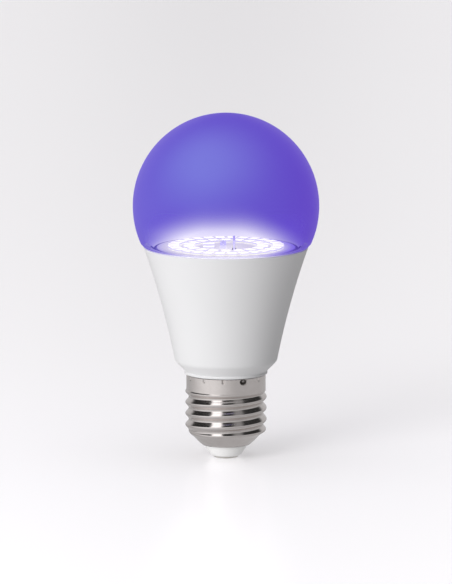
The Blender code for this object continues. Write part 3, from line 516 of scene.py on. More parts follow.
def radio_mask():
    """White mask on the radio board, over a folded aerial track near its top edge. Its top part has a painted glow
    for the LEDs' light.
    """
    finish = Finish("radio_mask", emission_strength=1.0)
    x, y, z = finish.parts(finish.place())
    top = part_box("radio_board")[1].z / MM
    fold_top, fold_foot, run_width = top - 0.35, top - 1.9, 0.25
    cell = y / 0.9 + 0.5
    runs = cell.fraction().band(0.36, 0.64, 0.04) * z.band(fold_foot, fold_top, 0.05)
    other = (cell / 2).fraction().above(0.5)
    over = z.band(fold_top - run_width, fold_top, 0.04) * other
    under = z.band(fold_foot, fold_foot + run_width, 0.04) * (1 - other)
    aerial = (runs + over + under).clamped() * y.absolute().band(-1.0, 4.0, 0.05)
    tracks = tracks_of(y, z, 1.27, 0.16) * (1 - z.rise(top - 3.2, top - 3.0))
    relief = (aerial + tracks).clamped()
    # Painted glow: emission on the top of the board, where the LEDs' light falls.
    lit = z.rise(top - 3.2, top - 2.6)
    finish.set("Emission Color", lit.between((0.0, 0.0, 0.0), (0.40, 0.38, 0.46)))
    colour = relief.between((0.70, 0.70, 0.76), (0.60, 0.60, 0.66))
    return finish.surfaced(colour, relief * -0.08 + 0.42, (relief, 0.5, 0.04 * MM))


def header_white():
    """The header's pale heat-proof plastic, lit by the LEDs round it."""
    # Painted glow: emission for the light of the LEDs round the header.
    painted_glow = ((0.44, 0.42, 0.54), (0.50, 0.48, 0.60))
    shades = ((0.62, 0.62, 0.68), (0.70, 0.70, 0.76))
    return mottled("header_white", 4.0, shades, (0.35, 0.50), (0.15, 0.03 * MM), painted_glow)


TIN_SHADES = ((0.62, 0.62, 0.63), (0.80, 0.80, 0.80))


def bright_tin():
    """Tin plate, slightly clouded."""
    relief = (0.15, 0.02 * MM)
    return mottled("bright_tin", 1.6, TIN_SHADES, (0.15, 0.40), relief, detail=4.0, coarse=0.6, metallic=1.0)


def lit_tin():
    """Tin plate on pins that stand among the LEDs, with a painted glow for their light where the pins rise above
    the board.
    """
    finish = Finish("lit_tin", metallic=1.0, emission_strength=1.0)
    point, x, y, z = finish.where()
    cloud = finish.noise(point, 1.6, 3.0)
    painted_glow_above_board = z.rise(BOARD_HIGH.z / MM - 0.2, BOARD_HIGH.z / MM)
    finish.set("Emission Color", painted_glow_above_board.between((0, 0, 0), (0.30, 0.29, 0.34)))
    return finish.surfaced(cloud.between(*TIN_SHADES), cloud * 0.25 + 0.15)


def can_sleeve():
    """A capacitor's shrunk sleeve, dark with a pale stripe down one side."""
    finish = Finish("can_sleeve")
    point, x, y, z = finish.where()
    stripe = (-y).rise(7.6, 7.7)
    marks = stripe * (z / 3.0).fraction().band(0.25, 0.75, 0.02) * x.absolute().band(-1.0, 0.35, 0.03)
    grain = finish.noise(point, 2.5, 3.0)
    ground = grain.between((0.034, 0.052, 0.125), (0.050, 0.072, 0.160))
    colour = (stripe - marks).clamped().between(ground, (0.55, 0.57, 0.60))
    return finish.surfaced(colour, grain * 0.15 + 0.25, (grain, 0.1, 0.03 * MM))


def can_top():
    """Bare aluminium, as on the end of a can."""
    finish = Finish("can_top", metallic=1.0)
    x, y, z = finish.parts(finish.place())
    brushed = finish.noise(finish.joined(x * 0.4, y * 6.0, z), 1.5, 4.0)
    colour = brushed.between((0.70, 0.71, 0.73), (0.80, 0.81, 0.83))
    return finish.surfaced(colour, brushed * 0.2 + 0.2)


def rubber_bung():
    """The dark rubber that seals a can."""
    return mottled("rubber_bung", 4.0, ((0.020, 0.020, 0.020), (0.045, 0.045, 0.045)), (0.65, 0.85))


def ferrite_black():
    """Pressed and fired ferrite: dark grey, finely pitted."""
    finish = Finish("ferrite_black")
    point = finish.place()
    pits = finish.noise(point, 5.0, 4.0, 0.7).rise(0.35, 0.5)
    cloud = finish.noise(point, 0.4, 2.0)
    colour = (pits * cloud).between((0.035, 0.035, 0.040), (0.10, 0.10, 0.11))
    return finish.surfaced(colour, 0.85 - pits * 0.25, (pits, 0.4, 0.05 * MM))


def wound_copper():
    """Enamelled wire laid turn beside turn up the coil, with a warm varnish over it. The copper is painted darker
    between the turns, as painted shade in the grooves.
    """
    finish = Finish("wound_copper", metallic=1.0)
    point, x, y, z = finish.where()
    turns = (z * (math.tau / 0.4)).sine() * 0.5 + 0.5
    cloud = finish.noise(point, 0.5, 3.0)
    # Painted shade: darker copper in the grooves between the turns.
    colour = (turns * 0.6 + cloud * 0.4).between((0.30, 0.10, 0.035), (0.66, 0.30, 0.13))
    return finish.surfaced(colour, 0.42 - turns * 0.18, (turns, 0.6, 0.12 * MM))


def chip_black():
    """Black moulding compound with a matt top."""
    shades = ((0.018, 0.018, 0.019), (0.042, 0.042, 0.044))
    return mottled("chip_black", 5.0, shades, (0.38, 0.63), (0.3, 0.03 * MM), detail=4.0, coarse=0.7)


def film_epoxy():
    """The film capacitor's yellow box, with a faint mottle."""
    shades = ((0.66, 0.42, 0.035), (0.80, 0.56, 0.07))
    return mottled("film_epoxy", 0.8, shades, (0.28, 0.53), (0.2, 0.06 * MM), detail=4.0)


def varistor_epoxy():
    """Dipped blue epoxy, glossy and a little uneven."""
    shades = ((0.035, 0.095, 0.38), (0.065, 0.150, 0.50))
    return mottled("varistor_epoxy", 0.7, shades, (0.2, 0.4), (0.5, 0.2 * MM), detail=2.0)


RESISTOR_BANDS = (
    (-2.4, (0.04, 0.02, 0.01)),
    (-1.0, (0.50, 0.05, 0.03)),
    (0.4, (0.02, 0.02, 0.02)),
    (2.2, (0.50, 0.36, 0.10)),
)


def resistor_cement():
    """A green flame-proof coat with four plain bands of colour."""
    finish = Finish("resistor_cement")
    point, x, y, z = finish.where()
    grain = finish.noise(point, 3.0, 3.0)
    colour = grain.between((0.15, 0.28, 0.17), (0.21, 0.36, 0.23))
    middle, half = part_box("fuse_resistor")[0].z / MM + 4.0, 0.35
    for offset, band in RESISTOR_BANDS:
        colour = z.band(middle + offset - half, middle + offset + half, 0.03).between(colour, band)
    return finish.surfaced(colour, grain * 0.2 + 0.5, (grain, 0.3, 0.06 * MM))


def cable_cover():
    """The live wire's pale insulation."""
    return mottled("cable_cover", 1.8, ((0.68, 0.68, 0.65), (0.80, 0.80, 0.77)), (0.4, 0.6), (0.2, 0.05 * MM))


# ---------------- shaping tools


def rounded(corners, steps=4):
    """An outline with its corners rounded. A corner is (radius, height) or (radius, height, rounding)."""
    outline = []
    for before, corner, after in zip(corners[-1:] + corners[:-1], corners, corners[1:] + corners[:1]):
        here = Vector(corner[:2])
        if len(corner) < 3:
            outline.append(here)
            continue
        sides = (Vector(other[:2]) - here for other in (before, after))
        start, end = (here + side.normalized() * min(corner[2], side.length * 0.45) for side in sides)
        for step in range(steps + 1):
            t = step / steps
            outline.append(start.lerp(here, t).lerp(here.lerp(end, t), t))
    return [tuple(point) for point in outline]


def spun(outline, steps, closed=True):
    """A turned body from an outline of (radius, height)."""
    bm = bmesh.new()
    points = [bm.verts.new((radius, 0.0, height)) for radius, height in outline]
    pairs = list(zip(points, points[1:] + points[:1])) if closed else list(zip(points, points[1:]))
    edges = [bm.edges.new(pair) for pair in pairs]
    bmesh.ops.spin(
        bm,
        geom=points + edges,
        cent=(0, 0, 0),
        axis=(0, 0, 1),
        angle=math.tau,
        steps=steps,
        use_merge=True,
    )
    bmesh.ops.remove_doubles(bm, verts=bm.verts, dist=0.002 * MM)
    bmesh.ops.recalc_face_normals(bm, faces=bm.faces)
    return bm


def evenly(low, high, count):
    return [low + (high - low) * i / (count - 1) for i in range(count)]


def arc(radius, centre_height, start, end, count):
    """Points on a circle round the axis point at that height. Angles are from the equator, upwards."""
    angles = evenly(start, end, count)
    return [(radius * math.cos(angle), centre_height + radius * math.sin(angle)) for angle in angles]


def linked(name, data):
    """A new object in the scene."""
    made = bpy.data.objects.new(name, data)
    SCENE.collection.objects.link(made)
    return made


def meshed(name, bm):
    """A new object with the bmesh's shape."""
    mesh = bpy.data.meshes.new(name)
    bm.to_mesh(mesh)
    bm.free()
    return linked(name, mesh)


def piece(name, bm, finishes, stands_for=(), sharp=40):
    """A finished piece on the bulb's one body. Edges that turn more than the sharp angle stay sharp."""
    made = meshed(name, bm)
    for finish in finishes:
        made.data.materials.append(finish_of(finish))
    made.data.shade_smooth()
    made.data.set_sharp_from_angle(angle=math.radians(sharp))
    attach(made, "root")
    if stands_for:
        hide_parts(*stands_for)
    return made


def around(radius, angle, height=0.0):
    return Vector((radius * math.cos(angle), radius * math.sin(angle), height))


def smooth_step(low, high, value):
    t = min(max((value - low) / (high - low), 0.0), 1.0)
    return t * t * (3 - 2 * t)


# ---------------- globe and housing


def flare_radius(height):
    """Outer radius of the housing's flared wall."""
    length = SEAM - SHOULDER_HEIGHT
    growth = (RIM_RADIUS - SHOULDER_RADIUS - FLARE_LOWER_SLOPE * length) / length**2
    above = height - SHOULDER_HEIGHT
    return SHOULDER_RADIUS + FLARE_LOWER_SLOPE * above + growth * above**2


def flare(top, bottom, inset, count):
    return [(flare_radius(z) - inset, z) for z in evenly(top, bottom, count)]


def make_globe():
    """The dome, and the spigot under it in the housing. Only what shows has the outer finish."""
    foot = GLOBE_CENTRE - math.sqrt(GLOBE_RADIUS**2 - GLOBE_FOOT_RADIUS**2)
    inner_radius = GLOBE_RADIUS - GLOBE_WALL
    inner_foot = foot + 1.0 * MM
    outer_end = math.asin((foot - GLOBE_CENTRE) / GLOBE_RADIUS)
    inner_start = math.asin((inner_foot - GLOBE_CENTRE) / inner_radius)
    bead = SEAM - 1.3 * MM
    seat = SEAM + SEAM_GAP / 2
    spigot_foot = SOCKET_FLOOR + 1.0 * MM
    outer = arc(GLOBE_RADIUS, GLOBE_CENTRE, math.pi / 2, outer_end, 72)
    inner = arc(inner_radius, GLOBE_CENTRE, inner_start, math.pi / 2, 48)
    skirt = rounded(
        [
            outer[-1],
            (RIM_RADIUS, seat, 0.35 * MM),
            (SPIGOT_RADIUS, seat, 0.1 * MM),
            (SPIGOT_RADIUS, bead + 0.5 * MM),
            (SPIGOT_RADIUS + 0.25 * MM, bead, 0.25 * MM),
            (SPIGOT_RADIUS, bead - 0.5 * MM),
            (SPIGOT_RADIUS, spigot_foot, 0.3 * MM),
            (SPIGOT_BORE, spigot_foot, 0.3 * MM),
            (SPIGOT_BORE, SEAM, 0.8 * MM),
            inner[0],
        ]
    )
    top, inner_top = (0.0, GLOBE_HIGH.z), (0.0, GLOBE_HIGH.z - GLOBE_WALL)
    bm = spun([top, *outer[1:-1], *skirt, *inner[1:-1], inner_top], 128, closed=False)
    for face in bm.faces:
        middle = face.calc_center_median()
        outward = Vector((middle.x, middle.y, middle.z - GLOBE_CENTRE)).dot(face.normal) > 0
        face.material_index = 0 if outward and middle.z > seat + 0.02 * MM else 1
    return piece("globe_dome", bm, [globe_skin, globe_inside], ["globe"])


def make_housing():
    top = HOUSING_HIGH.z
    crimp = SHELL_HIGH.z - 0.8 * MM
    corners = [
        (RIM_RADIUS - 0.02 * MM, top, 0.35 * MM),
        *flare(top - 1.5 * MM, SHOULDER_HEIGHT + 1.5 * MM, 0.0, 32),
        (SHOULDER_RADIUS, SHOULDER_HEIGHT, 0.9 * MM),
        (LIP_RADIUS - 0.20 * MM, LIP_TOP, 0.3 * MM),
        (LIP_RADIUS + 0.02 * MM, LIP_TOP - 0.35 * MM, 0.25 * MM),
        (LIP_RADIUS - 0.02 * MM, LIP_BOTTOM, 0.35 * MM),
        (NECK_UPPER_RADIUS, LIP_BOTTOM, 0.1 * MM),
        (NECK_UPPER_RADIUS, crimp + 0.7 * MM),
        (NECK_UPPER_RADIUS - 0.6 * MM, crimp, 0.5 * MM),
        (NECK_UPPER_RADIUS, crimp - 0.7 * MM),
        (NECK_UPPER_RADIUS, RING_BOTTOM + 0.9 * MM),
        (NECK_RADIUS, RING_BOTTOM - 0.2 * MM),
        (NECK_RADIUS, HOUSING_LOW.z, 0.3 * MM),
        (NECK_BORE, HOUSING_LOW.z, 0.3 * MM),
        (NECK_BORE, SHOULDER_HEIGHT - 4.75 * MM, 0.6 * MM),
        (SHOULDER_RADIUS - HOUSING_WALL - 0.1 * MM, SHOULDER_HEIGHT + 0.2 * MM, 0.8 * MM),
        *flare(SHOULDER_HEIGHT + 2.0 * MM, SOCKET_FLOOR - 0.5 * MM, HOUSING_WALL, 20),
        (flare_radius(SOCKET_FLOOR) - HOUSING_WALL, SOCKET_FLOOR),
        (SOCKET_RADIUS, SOCKET_FLOOR),
        (SOCKET_RADIUS, SEAM - 1.8 * MM),
        (SOCKET_RADIUS + 0.25 * MM, SEAM - 1.3 * MM),
        (SOCKET_RADIUS, SEAM - 0.8 * MM),
        (SOCKET_RADIUS, top, 0.2 * MM),
    ]
    bm = spun(rounded(corners), 144)
    return piece("housing_shell", bm, [housing_white], ["housing"])


# ---------------- screw cap


def shell_radius(angle, height):
    """Outer radius of the rolled shell: a bowl, then the round-form thread, then the plain ring."""
    if height <= BOWL_TOP:
        rise = (height - SHELL_LOW.z) / (BOWL_TOP - SHELL_LOW.z)
        plain = SHELL_BOTTOM_RADIUS + (THREAD_ROOT - SHELL_BOTTOM_RADIUS) * max(rise, 0.0) ** BOWL_ROUNDING
    else:
        plain = THREAD_ROOT + (RING_RADIUS - THREAD_ROOT) * smooth_step(THREAD_TOP, RING_BOTTOM, height)
    fade = smooth_step(BOWL_TOP - 1.6 * MM, BOWL_TOP + 1.2 * MM, height)
    fade *= 1 - smooth_step(RING_BOTTOM - 0.2 * MM, RING_BOTTOM + 0.8 * MM, height)
    turns = (height - THREAD_START) / THREAD_PITCH - angle / math.tau
    wave = 0.5 + 0.5 * math.cos(turns * math.tau)
    return plain + (THREAD_CREST - plain) * fade * wave


def crimp_dent(angle, height):
    """How far the punches dent the ring's top edge at this place. The stake's hollow has a curl of metal in it."""
    dent = 0.0
    for i in range(CRIMPS):
        away = (angle - CRIMP_PHASE - i * math.tau / CRIMPS + math.pi) % math.tau - math.pi
        across = away * RING_RADIUS
        if abs(across) > 2.5 * MM:
            continue
        below = SHELL_HIGH.z - height
        if i == STAKE_INDEX:
            down = below - STAKE_BELOW_TOP
            from_middle = math.hypot(across / STAKE_HALF_WIDTH, down / STAKE_HALF_HEIGHT)
            from_curl = math.hypot(across / CURL_HALF_WIDTH - 0.3, (down + 0.5 * MM) / CURL_HALF_HEIGHT)
            dent = max(dent, STAKE_DEPTH * (1 - smooth_step(0.30, 1.0, from_middle)))
            dent -= CURL_RISE * (1 - smooth_step(0.0, 1.0, from_curl))
        else:
            side = 1 - smooth_step(0.45, 1.0, abs(across) / CRIMP_HALF_WIDTH)
            end = 1 - smooth_step(0.80, 1.0, below / CRIMP_LENGTH)
            dent = max(dent, CRIMP_DEPTH * side * end)
    return dent


def make_screw_shell():
    """A tube of rows, each point moved to the rolled radius there, then given the sheet's thickness."""
    plain_top = SHELL_HIGH.z - 2.2 * MM
    rows = evenly(SHELL_LOW.z, BOWL_TOP, 12)
    rows += evenly(BOWL_TOP, RING_BOTTOM + 0.8 * MM, 68)[1:]
    rows += evenly(RING_BOTTOM + 0.8 * MM, plain_top, 6)[1:]
    rows += evenly(plain_top, SHELL_HIGH.z, 20)[1:]
    bm = spun([(RING_RADIUS, z) for z in rows], 400, closed=False)
    for vert in bm.verts:
        angle = math.atan2(vert.co.y, vert.co.x)
        radius = shell_radius(angle, vert.co.z) - crimp_dent(angle, vert.co.z)
        vert.co = around(radius, angle, vert.co.z)
    bmesh.ops.recalc_face_normals(bm, faces=bm.faces)
    if sum(face.normal.dot(face.calc_center_median() * Vector((1, 1, 0))) for face in bm.faces) < 0:
        bmesh.ops.reverse_faces(bm, faces=bm.faces)
    made = piece("screw_shell_rolled", bm, [nickel_plate], ["screw_shell"], sharp=60)
    wall = made.modifiers.new("sheet_metal", "SOLIDIFY")
    wall.thickness = SHELL_WALL
    wall.offset = -1.0
    return made


def make_plug():
    low, high = PLUG_LOW.z, PLUG_HIGH.z
    throat = SHELL_BOTTOM_RADIUS - SHELL_WALL - 0.5 * MM
    flange = PLUG_HIGH.x
    flange_bottom = SHELL_LOW.z + 1.5 * MM
    bore = 1.0 * MM
    corners = [
        (flange, high, 0.2 * MM),
        (flange, flange_bottom, 0.2 * MM),
        (throat, SHELL_LOW.z + 0.5 * MM, 0.2 * MM),
        (throat, SHELL_LOW.z - 0.3 * MM, 0.3 * MM),
        (5.15 * MM, low + 0.45 * MM, 0.5 * MM),
        (4.55 * MM, low, 0.3 * MM),
        (bore, low),
        (bore, high),
    ]
    return piece("cap_plug", spun(rounded(corners), 96), [plug_white], ["cap_insulator"])


def make_contact():
    shank, head = 0.9 * MM, 0.6 * MM
    radius = CONTACT_HIGH.x
    corners = [
        (0.0, CONTACT_HIGH.z),
        (shank, CONTACT_HIGH.z, 0.3 * MM),
        (shank, head, 0.1 * MM),
        (radius - 0.1 * MM, head, 0.15 * MM),
        (radius, head - 0.15 * MM, 0.1 * MM),
        (radius - 0.15 * MM, 0.2 * MM, 0.2 * MM),
        (3.3 * MM, 0.0, 0.3 * MM),
        (0.0, 0.0),
    ]
    bm = spun(rounded(corners), 64, closed=False)
    return piece("contact_nail", bm, [contact_metal], ["centre_contact"])


# ---------------- LED board


def copied(node):
    """A CAD node's own shape, with its loose triangles merged into flat faces."""
    bm = bmesh.new()
    bm.from_mesh(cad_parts[node].data)
    bmesh.ops.remove_doubles(bm, verts=bm.verts, dist=0.001 * MM)
    bmesh.ops.dissolve_limit(bm, angle_limit=math.radians(1), verts=bm.verts, edges=bm.edges)
    return bm


def eased(bm, width, segments=2, corner=35):
    """Rounds the edges that turn more than the corner angle."""
    edges = [e for e in bm.edges if e.is_manifold and e.calc_face_angle() > math.radians(corner)]
    bmesh.ops.bevel(
        bm,
        geom=edges,
        offset=width,
        offset_type="OFFSET",
        affect="EDGES",
        segments=segments,
        profile=0.5,
        material=-1,
        clamp_overlap=True,
    )
    return bm


def block(bm, corner, other):
    """Adds a block between two opposite corners, and returns its points."""
    corner, other = Vector(corner), Vector(other)
    verts = bmesh.ops.create_cube(bm, size=1.0)["verts"]
    bmesh.ops.scale(bm, vec=[abs(length) for length in other - corner], verts=verts)
    bmesh.ops.translate(bm, vec=(corner + other) / 2, verts=verts)
    return verts


def make_led_board():
    bm = eased(copied("led_board"), 0.12 * MM)
    return piece("led_board_masked", bm, [solder_mask], ["led_board"])


def led_package():
    """An LED package at the origin: a white frame with a sunken lit window."""
    bm = bmesh.new()
    body = bmesh.ops.create_cube(bm, size=1.0)["verts"]
    bmesh.ops.scale(bm, vec=(LED_LENGTH, LED_WIDTH, LED_HEIGHT), verts=body)
    bmesh.ops.translate(bm, vec=(0, 0, LED_HEIGHT / 2), verts=body)
    upright = [e for e in bm.edges if abs(e.verts[0].co.z - e.verts[1].co.z) > LED_HEIGHT / 2]
    bmesh.ops.bevel(bm, geom=upright, offset=0.25 * MM, affect="EDGES", segments=2, profile=0.5, material=-1)
    top = max(bm.faces, key=lambda face: face.calc_center_median().z)
    bmesh.ops.inset_region(bm, faces=[top], thickness=0.20 * MM, depth=0.0)
    bmesh.ops.inset_region(bm, faces=[top], thickness=0.10 * MM, depth=-0.05 * MM)
    for face in bm.faces:
        face.material_index = 1 if face.normal.z > 0.5 else 0
    bmesh.ops.poke(bm, faces=[top])
    return bm


def make_led(name, place, turn, string):
    bm = led_package()
    bmesh.ops.transform(bm, verts=bm.verts, matrix=Matrix.Translation(place) @ Matrix.Rotation(turn, 4, "Z"))
    return piece(name, bm, [led_body, led_light], [string])


def make_led_ring(word, count, radius):
    string = "led_string_" + word
    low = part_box(string)[0].z
    outer, inner = radius + LED_TRACK_HALF, radius - LED_TRACK_HALF
    corners = [(outer, LED_BOTTOM, 0.05 * MM), (outer, low), (inner, low), (inner, LED_BOTTOM, 0.05 * MM)]
    piece("led_track_" + word, spun(rounded(corners), 96), [solder_mask], [string])
    for i in range(count):
        turn = math.tau * (i + 0.5) / count
        make_led(f"led_{word}_{i + 1:02d}", around(radius, turn, LED_BOTTOM), turn, string)


def make_inner_track():
    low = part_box("led_string_inner")[0].z
    reach = INNER_PAIR_Y + LED_WIDTH / 3
    bm = bmesh.new()
    block(bm, (INNER_PAIR_X - LED_TRACK_HALF, -reach, low), (INNER_PAIR_X + LED_TRACK_HALF, reach, LED_BOTTOM))
    eased(bm, 0.05 * MM, 1)
    return piece("led_track_inner", bm, [solder_mask], ["led_string_inner"])


def make_leds():
    for ring in LED_RINGS:
        make_led_ring(*ring)
    for i, y in enumerate((-INNER_PAIR_Y, INNER_PAIR_Y), start=1):
        make_led(f"led_inner_{i:02d}", (INNER_PAIR_X, y, LED_BOTTOM), 0.0, "led_string_inner")
    make_inner_track()


# ---------------- inside the housing


def refined(name, node, finish, width, segments=2):
    """A CAD node's own shape with its edges rounded."""
    return piece(name, eased(copied(node), width, segments), [finish], [node])


def combine(made, operation, blocks):
    """Joins blocks to a piece or takes them from it, as part of its mesh."""
    bm = bmesh.new()
    for corner, other in blocks:
        block(bm, corner, other)
    other = meshed("helper", bm)
    change = made.modifiers.new("change", "BOOLEAN")
    change.operation, change.solver, change.object = operation, "EXACT", other
    shaped = bpy.data.meshes.new_from_object(made.evaluated_get(bpy.context.evaluated_depsgraph_get()))
    made.modifiers.clear()
    bpy.data.objects.remove(other)
    made.data = shaped
    shaped.set_sharp_from_angle(angle=math.radians(30))
    return made


def make_seal():
    low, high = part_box("globe_seal")
    section = (high.z - low.z) / 2
    ring = high.x - section
    outline = [(ring + r, z) for r, z in arc(section, (low.z + high.z) / 2, 0.0, math.tau * 15 / 16, 16)]
    return piece("seal_bead", spun(outline, 96), [silicone_bead], ["globe_seal"])


def make_heat_sink():
    low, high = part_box("heat_sink")
    wall = 0.8 * MM
    inset = HOUSING_WALL + 0.25 * MM
    top_radius = SPIGOT_BORE - 0.5 * MM
    ledge = SOCKET_FLOOR - 0.25 * MM
    widest = ledge - 0.35 * MM
    corners = [
        (0.0, high.z),
        (top_radius, high.z, 0.9 * MM),
        (top_radius, ledge, 0.3 * MM),
        *flare(widest, low.z, inset, 14),
        *flare(low.z, widest - wall, inset + wall, 14),
        (top_radius - wall, ledge - wall, 0.3 * MM),
        (top_radius - wall, high.z - wall, 0.5 * MM),
        (0.0, high.z - wall),
    ]
    bm = spun(rounded(corners), 96, closed=False)
    made = piece("heat_sink_cup", bm, [pressed_aluminium], ["heat_sink"])
    window_low = (-3.1 * MM, -6.0 * MM, high.z - 2 * wall)
    window_high = (5.2 * MM, 6.0 * MM, high.z + wall)
    return combine(made, "DIFFERENCE", [(window_low, window_high)])


def make_sleeve():
    """The driver's insulating sleeve, with a pair of ribs at each side that the board slides between."""
    low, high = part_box("driver_sleeve")
    wall = 0.7 * MM
    neck = 9.65 * MM
    shoulder = 33.8 * MM
    inset = HOUSING_WALL + 1.3 * MM
    corners = [
        *flare(high.z, shoulder, inset, 10),
        (neck, 26.9 * MM, 0.8 * MM),
        (neck, low.z, 0.2 * MM),
        (neck - wall, low.z, 0.2 * MM),
        (neck - wall, 27.1 * MM, 0.8 * MM),
        *flare(shoulder, high.z, inset + wall, 10),
    ]
    bm = spun(rounded(corners), 96)
    made = piece("driver_sleeve_ribbed", bm, [sleeve_plastic], ["driver_sleeve"])
    tip, root = Vector((6.85, 0.85, 15.0)) * MM, Vector((9.15, 1.55, 26.8)) * MM
    sides = [Vector((x, y, 1)) for x in (-1, 1) for y in (-1, 1)]
    return combine(made, "UNION", [(tip * side, root * side) for side in sides])


def set_down(bm, low, high):
    """Moves a body that was spun about the Z axis to the middle of its box."""
    bmesh.ops.translate(bm, vec=((low.x + high.x) / 2, (low.y + high.y) / 2, 0), verts=bm.verts)
    return bm


def make_can(name, node):
    """A capacitor: a sleeved can with a rolled groove, a bare sunken top and a rubber bung under it."""
    low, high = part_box(node)
    radius = (high.x - low.x) / 2
    groove = low.z + 1.6 * MM
    bare = radius - 0.9 * MM
    corners = [
        (0.0, high.z - 0.2 * MM),
        (bare, high.z - 0.2 * MM),
        (bare + 0.05 * MM, high.z, 0.1 * MM),
        (radius, high.z, 0.5 * MM),
        (radius, groove + 0.5 * MM, 0.2 * MM),
        (radius - 0.4 * MM, groove, 0.3 * MM),
        (radius, groove - 0.5 * MM, 0.2 * MM),
        (radius, low.z, 0.5 * MM),
        (bare, low.z, 0.1 * MM),
        (bare - 0.05 * MM, low.z + 0.25 * MM),
        (0.0, low.z + 0.25 * MM),
    ]
    bm = spun(rounded(corners), 64, closed=False)
    for face in bm.faces:
        middle = face.calc_center_median()
        if middle.xy.length < bare - 0.04 * MM:
            face.material_index = 1 if middle.z > groove else 2
    set_down(bm, low, high)
    return piece(name, bm, [can_sleeve, can_top, rubber_bung], [node])


def make_choke():
    """A ferrite drum, and the coil between its flanges."""
    low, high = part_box("choke_core")
    radius, core, flange = (high.x - low.x) / 2, 1.3 * MM, 1.0 * MM
    corners = [
        (0.0, high.z),
        (radius, high.z, 0.25 * MM),
        (radius, high.z - flange, 0.2 * MM),
        (core, high.z - flange),
        (core, low.z + flange),
        (radius, low.z + flange, 0.2 * MM),
        (radius, low.z, 0.25 * MM),
        (0.0, low.z),
    ]
    bm = set_down(spun(rounded(corners), 64, closed=False), low, high)
    piece("choke_drum", bm, [ferrite_black], ["choke_core"])
    low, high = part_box("choke_winding")
    outer, turns = (high.x - low.x) / 2, 12
    pitch = (high.z - low.z) / turns
    coil = [(core + 0.1 * MM, high.z), (core + 0.1 * MM, low.z)]
    for i in range(turns * 4 + 1):
        swell = abs(math.sin(math.pi * i / 4))
        coil.append((outer - 0.12 * MM * (1 - swell), low.z + pitch * i / 4))
    bm = set_down(spun(coil, 64), low, high)
    return piece("choke_coil", bm, [wound_copper], ["choke_winding"], sharp=80)


def make_resistor():
    """A body with a cap's bulge at each end."""
    low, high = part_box("fuse_resistor")
    radius = (high.x - low.x) / 2
    waist = radius - 0.2 * MM
    corners = [
        (0.0, high.z),
        (radius, high.z, 0.6 * MM),
        (radius, high.z - 1.8 * MM, 0.5 * MM),
        (waist, high.z - 2.3 * MM, 0.5 * MM),
        (waist, low.z + 2.3 * MM, 0.5 * MM),
        (radius, low.z + 1.8 * MM, 0.5 * MM),
        (radius, low.z, 0.6 * MM),
        (0.0, low.z),
    ]
    bm = set_down(spun(rounded(corners), 48, closed=False), low, high)
    return piece("fuse_resistor_body", bm, [resistor_cement], ["fuse_resistor"])


def make_varistor():
    """A dipped disc that stands on its edge."""
    low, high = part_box("varistor")
    radius, half = (high.x - low.x) / 2, (high.y - low.y) / 2
    corners = [
        (0.0, half),
        (radius * 0.55, half, 1.0 * MM),
        (radius, half - 0.3 * MM, 1.3 * MM),
        (radius, 0.3 * MM - half, 1.3 * MM),
        (radius * 0.55, -half, 1.0 * MM),
        (0.0, -half),
    ]
    bm = spun(rounded(corners, 6), 64, closed=False)
    upright = Matrix.Translation((low + high) / 2) @ Matrix.Rotation(math.pi / 2, 4, "X")
    bmesh.ops.transform(bm, verts=bm.verts, matrix=upright)
    return piece("varistor_disc", bm, [varistor_epoxy], ["varistor"])


def make_package(name, node, leads, reach):
    """A chip's moulded body between rows of bent leads. The board is on its -Y side."""
    low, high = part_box(node)
    foot = 0.2 * MM
    bm = bmesh.new()
    block(bm, (low.x + reach, low.y + foot / 2, low.z), (high.x - reach, high.y, high.z))
    eased(bm, 0.2 * MM)
    pitch = (high.z - low.z) / leads
    half = min(pitch * 0.22, 0.35 * MM)
    middle = (low.y + high.y) / 2
    for i in range(leads):
        z = low.z + pitch * (i + 0.5)
        for side, tip in ((-1, low.x), (1, high.x)):
            wall = tip - side * reach
            bend = tip - side * reach * 0.45
            runs = (
                ((wall - side * 0.2 * MM, middle - foot / 2), (bend, middle + foot / 2)),
                ((bend - side * foot, low.y), (bend, middle + foot / 2)),
                ((bend - side * foot, low.y), (tip, low.y + foot)),
            )
            for start, end in runs:
                verts = block(bm, (*start, z - half), (*end, z + half))
                for face in {face for vert in verts for face in vert.link_faces}:
                    face.material_index = 1
    return piece(name, bm, [chip_black, bright_tin], [node])


def make_inside():
    """The seal, the heat sink, the driver and the radio module. The two wires keep their own shape."""
    make_seal()
    make_heat_sink()
    refined("thermal_pad_disc", "thermal_pad", filled_silicone, 0.08 * MM, 1)
    make_sleeve()
    refined("driver_board_printed", "driver_board", green_board, 0.1 * MM, 1)
    make_can("input_capacitor_can", "input_capacitor")
    make_can("output_capacitor_can", "output_capacitor")
    refined("transformer_core_fired", "transformer_core", ferrite_black, 0.35 * MM)
    refined("transformer_coil", "transformer_winding", wound_copper, 0.3 * MM)
    make_choke()
    make_resistor()
    make_varistor()
    make_package("bridge_rectifier_body", "bridge_rectifier", 2, 0.7 * MM)
    make_package("driver_chip_body", "driver_chip", 4, 0.6 * MM)
    refined("rectifier_diode_body", "rectifier_diode", chip_black, 0.2 * MM)
    refined("film_capacitor_box", "film_capacitor", film_epoxy, 0.3 * MM, 3)
    refined("radio_board_printed", "radio_board", radio_mask, 0.08 * MM, 1)
    refined("radio_shield_can", "radio_shield", bright_tin, 0.2 * MM, 3)
    refined("led_header_strip", "led_header", header_white, 0.12 * MM)
    for number in range(1, 5):
        refined(f"header_pin_{number}_tinned", f"header_pin_{number}", lit_tin, 0.1 * MM, 1)
    for node, finish in (("live_wire", cable_cover), ("neutral_wire", bright_tin)):
        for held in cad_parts[node].material_slots:
            held.material = finish_of(finish)


# ---------------- stage


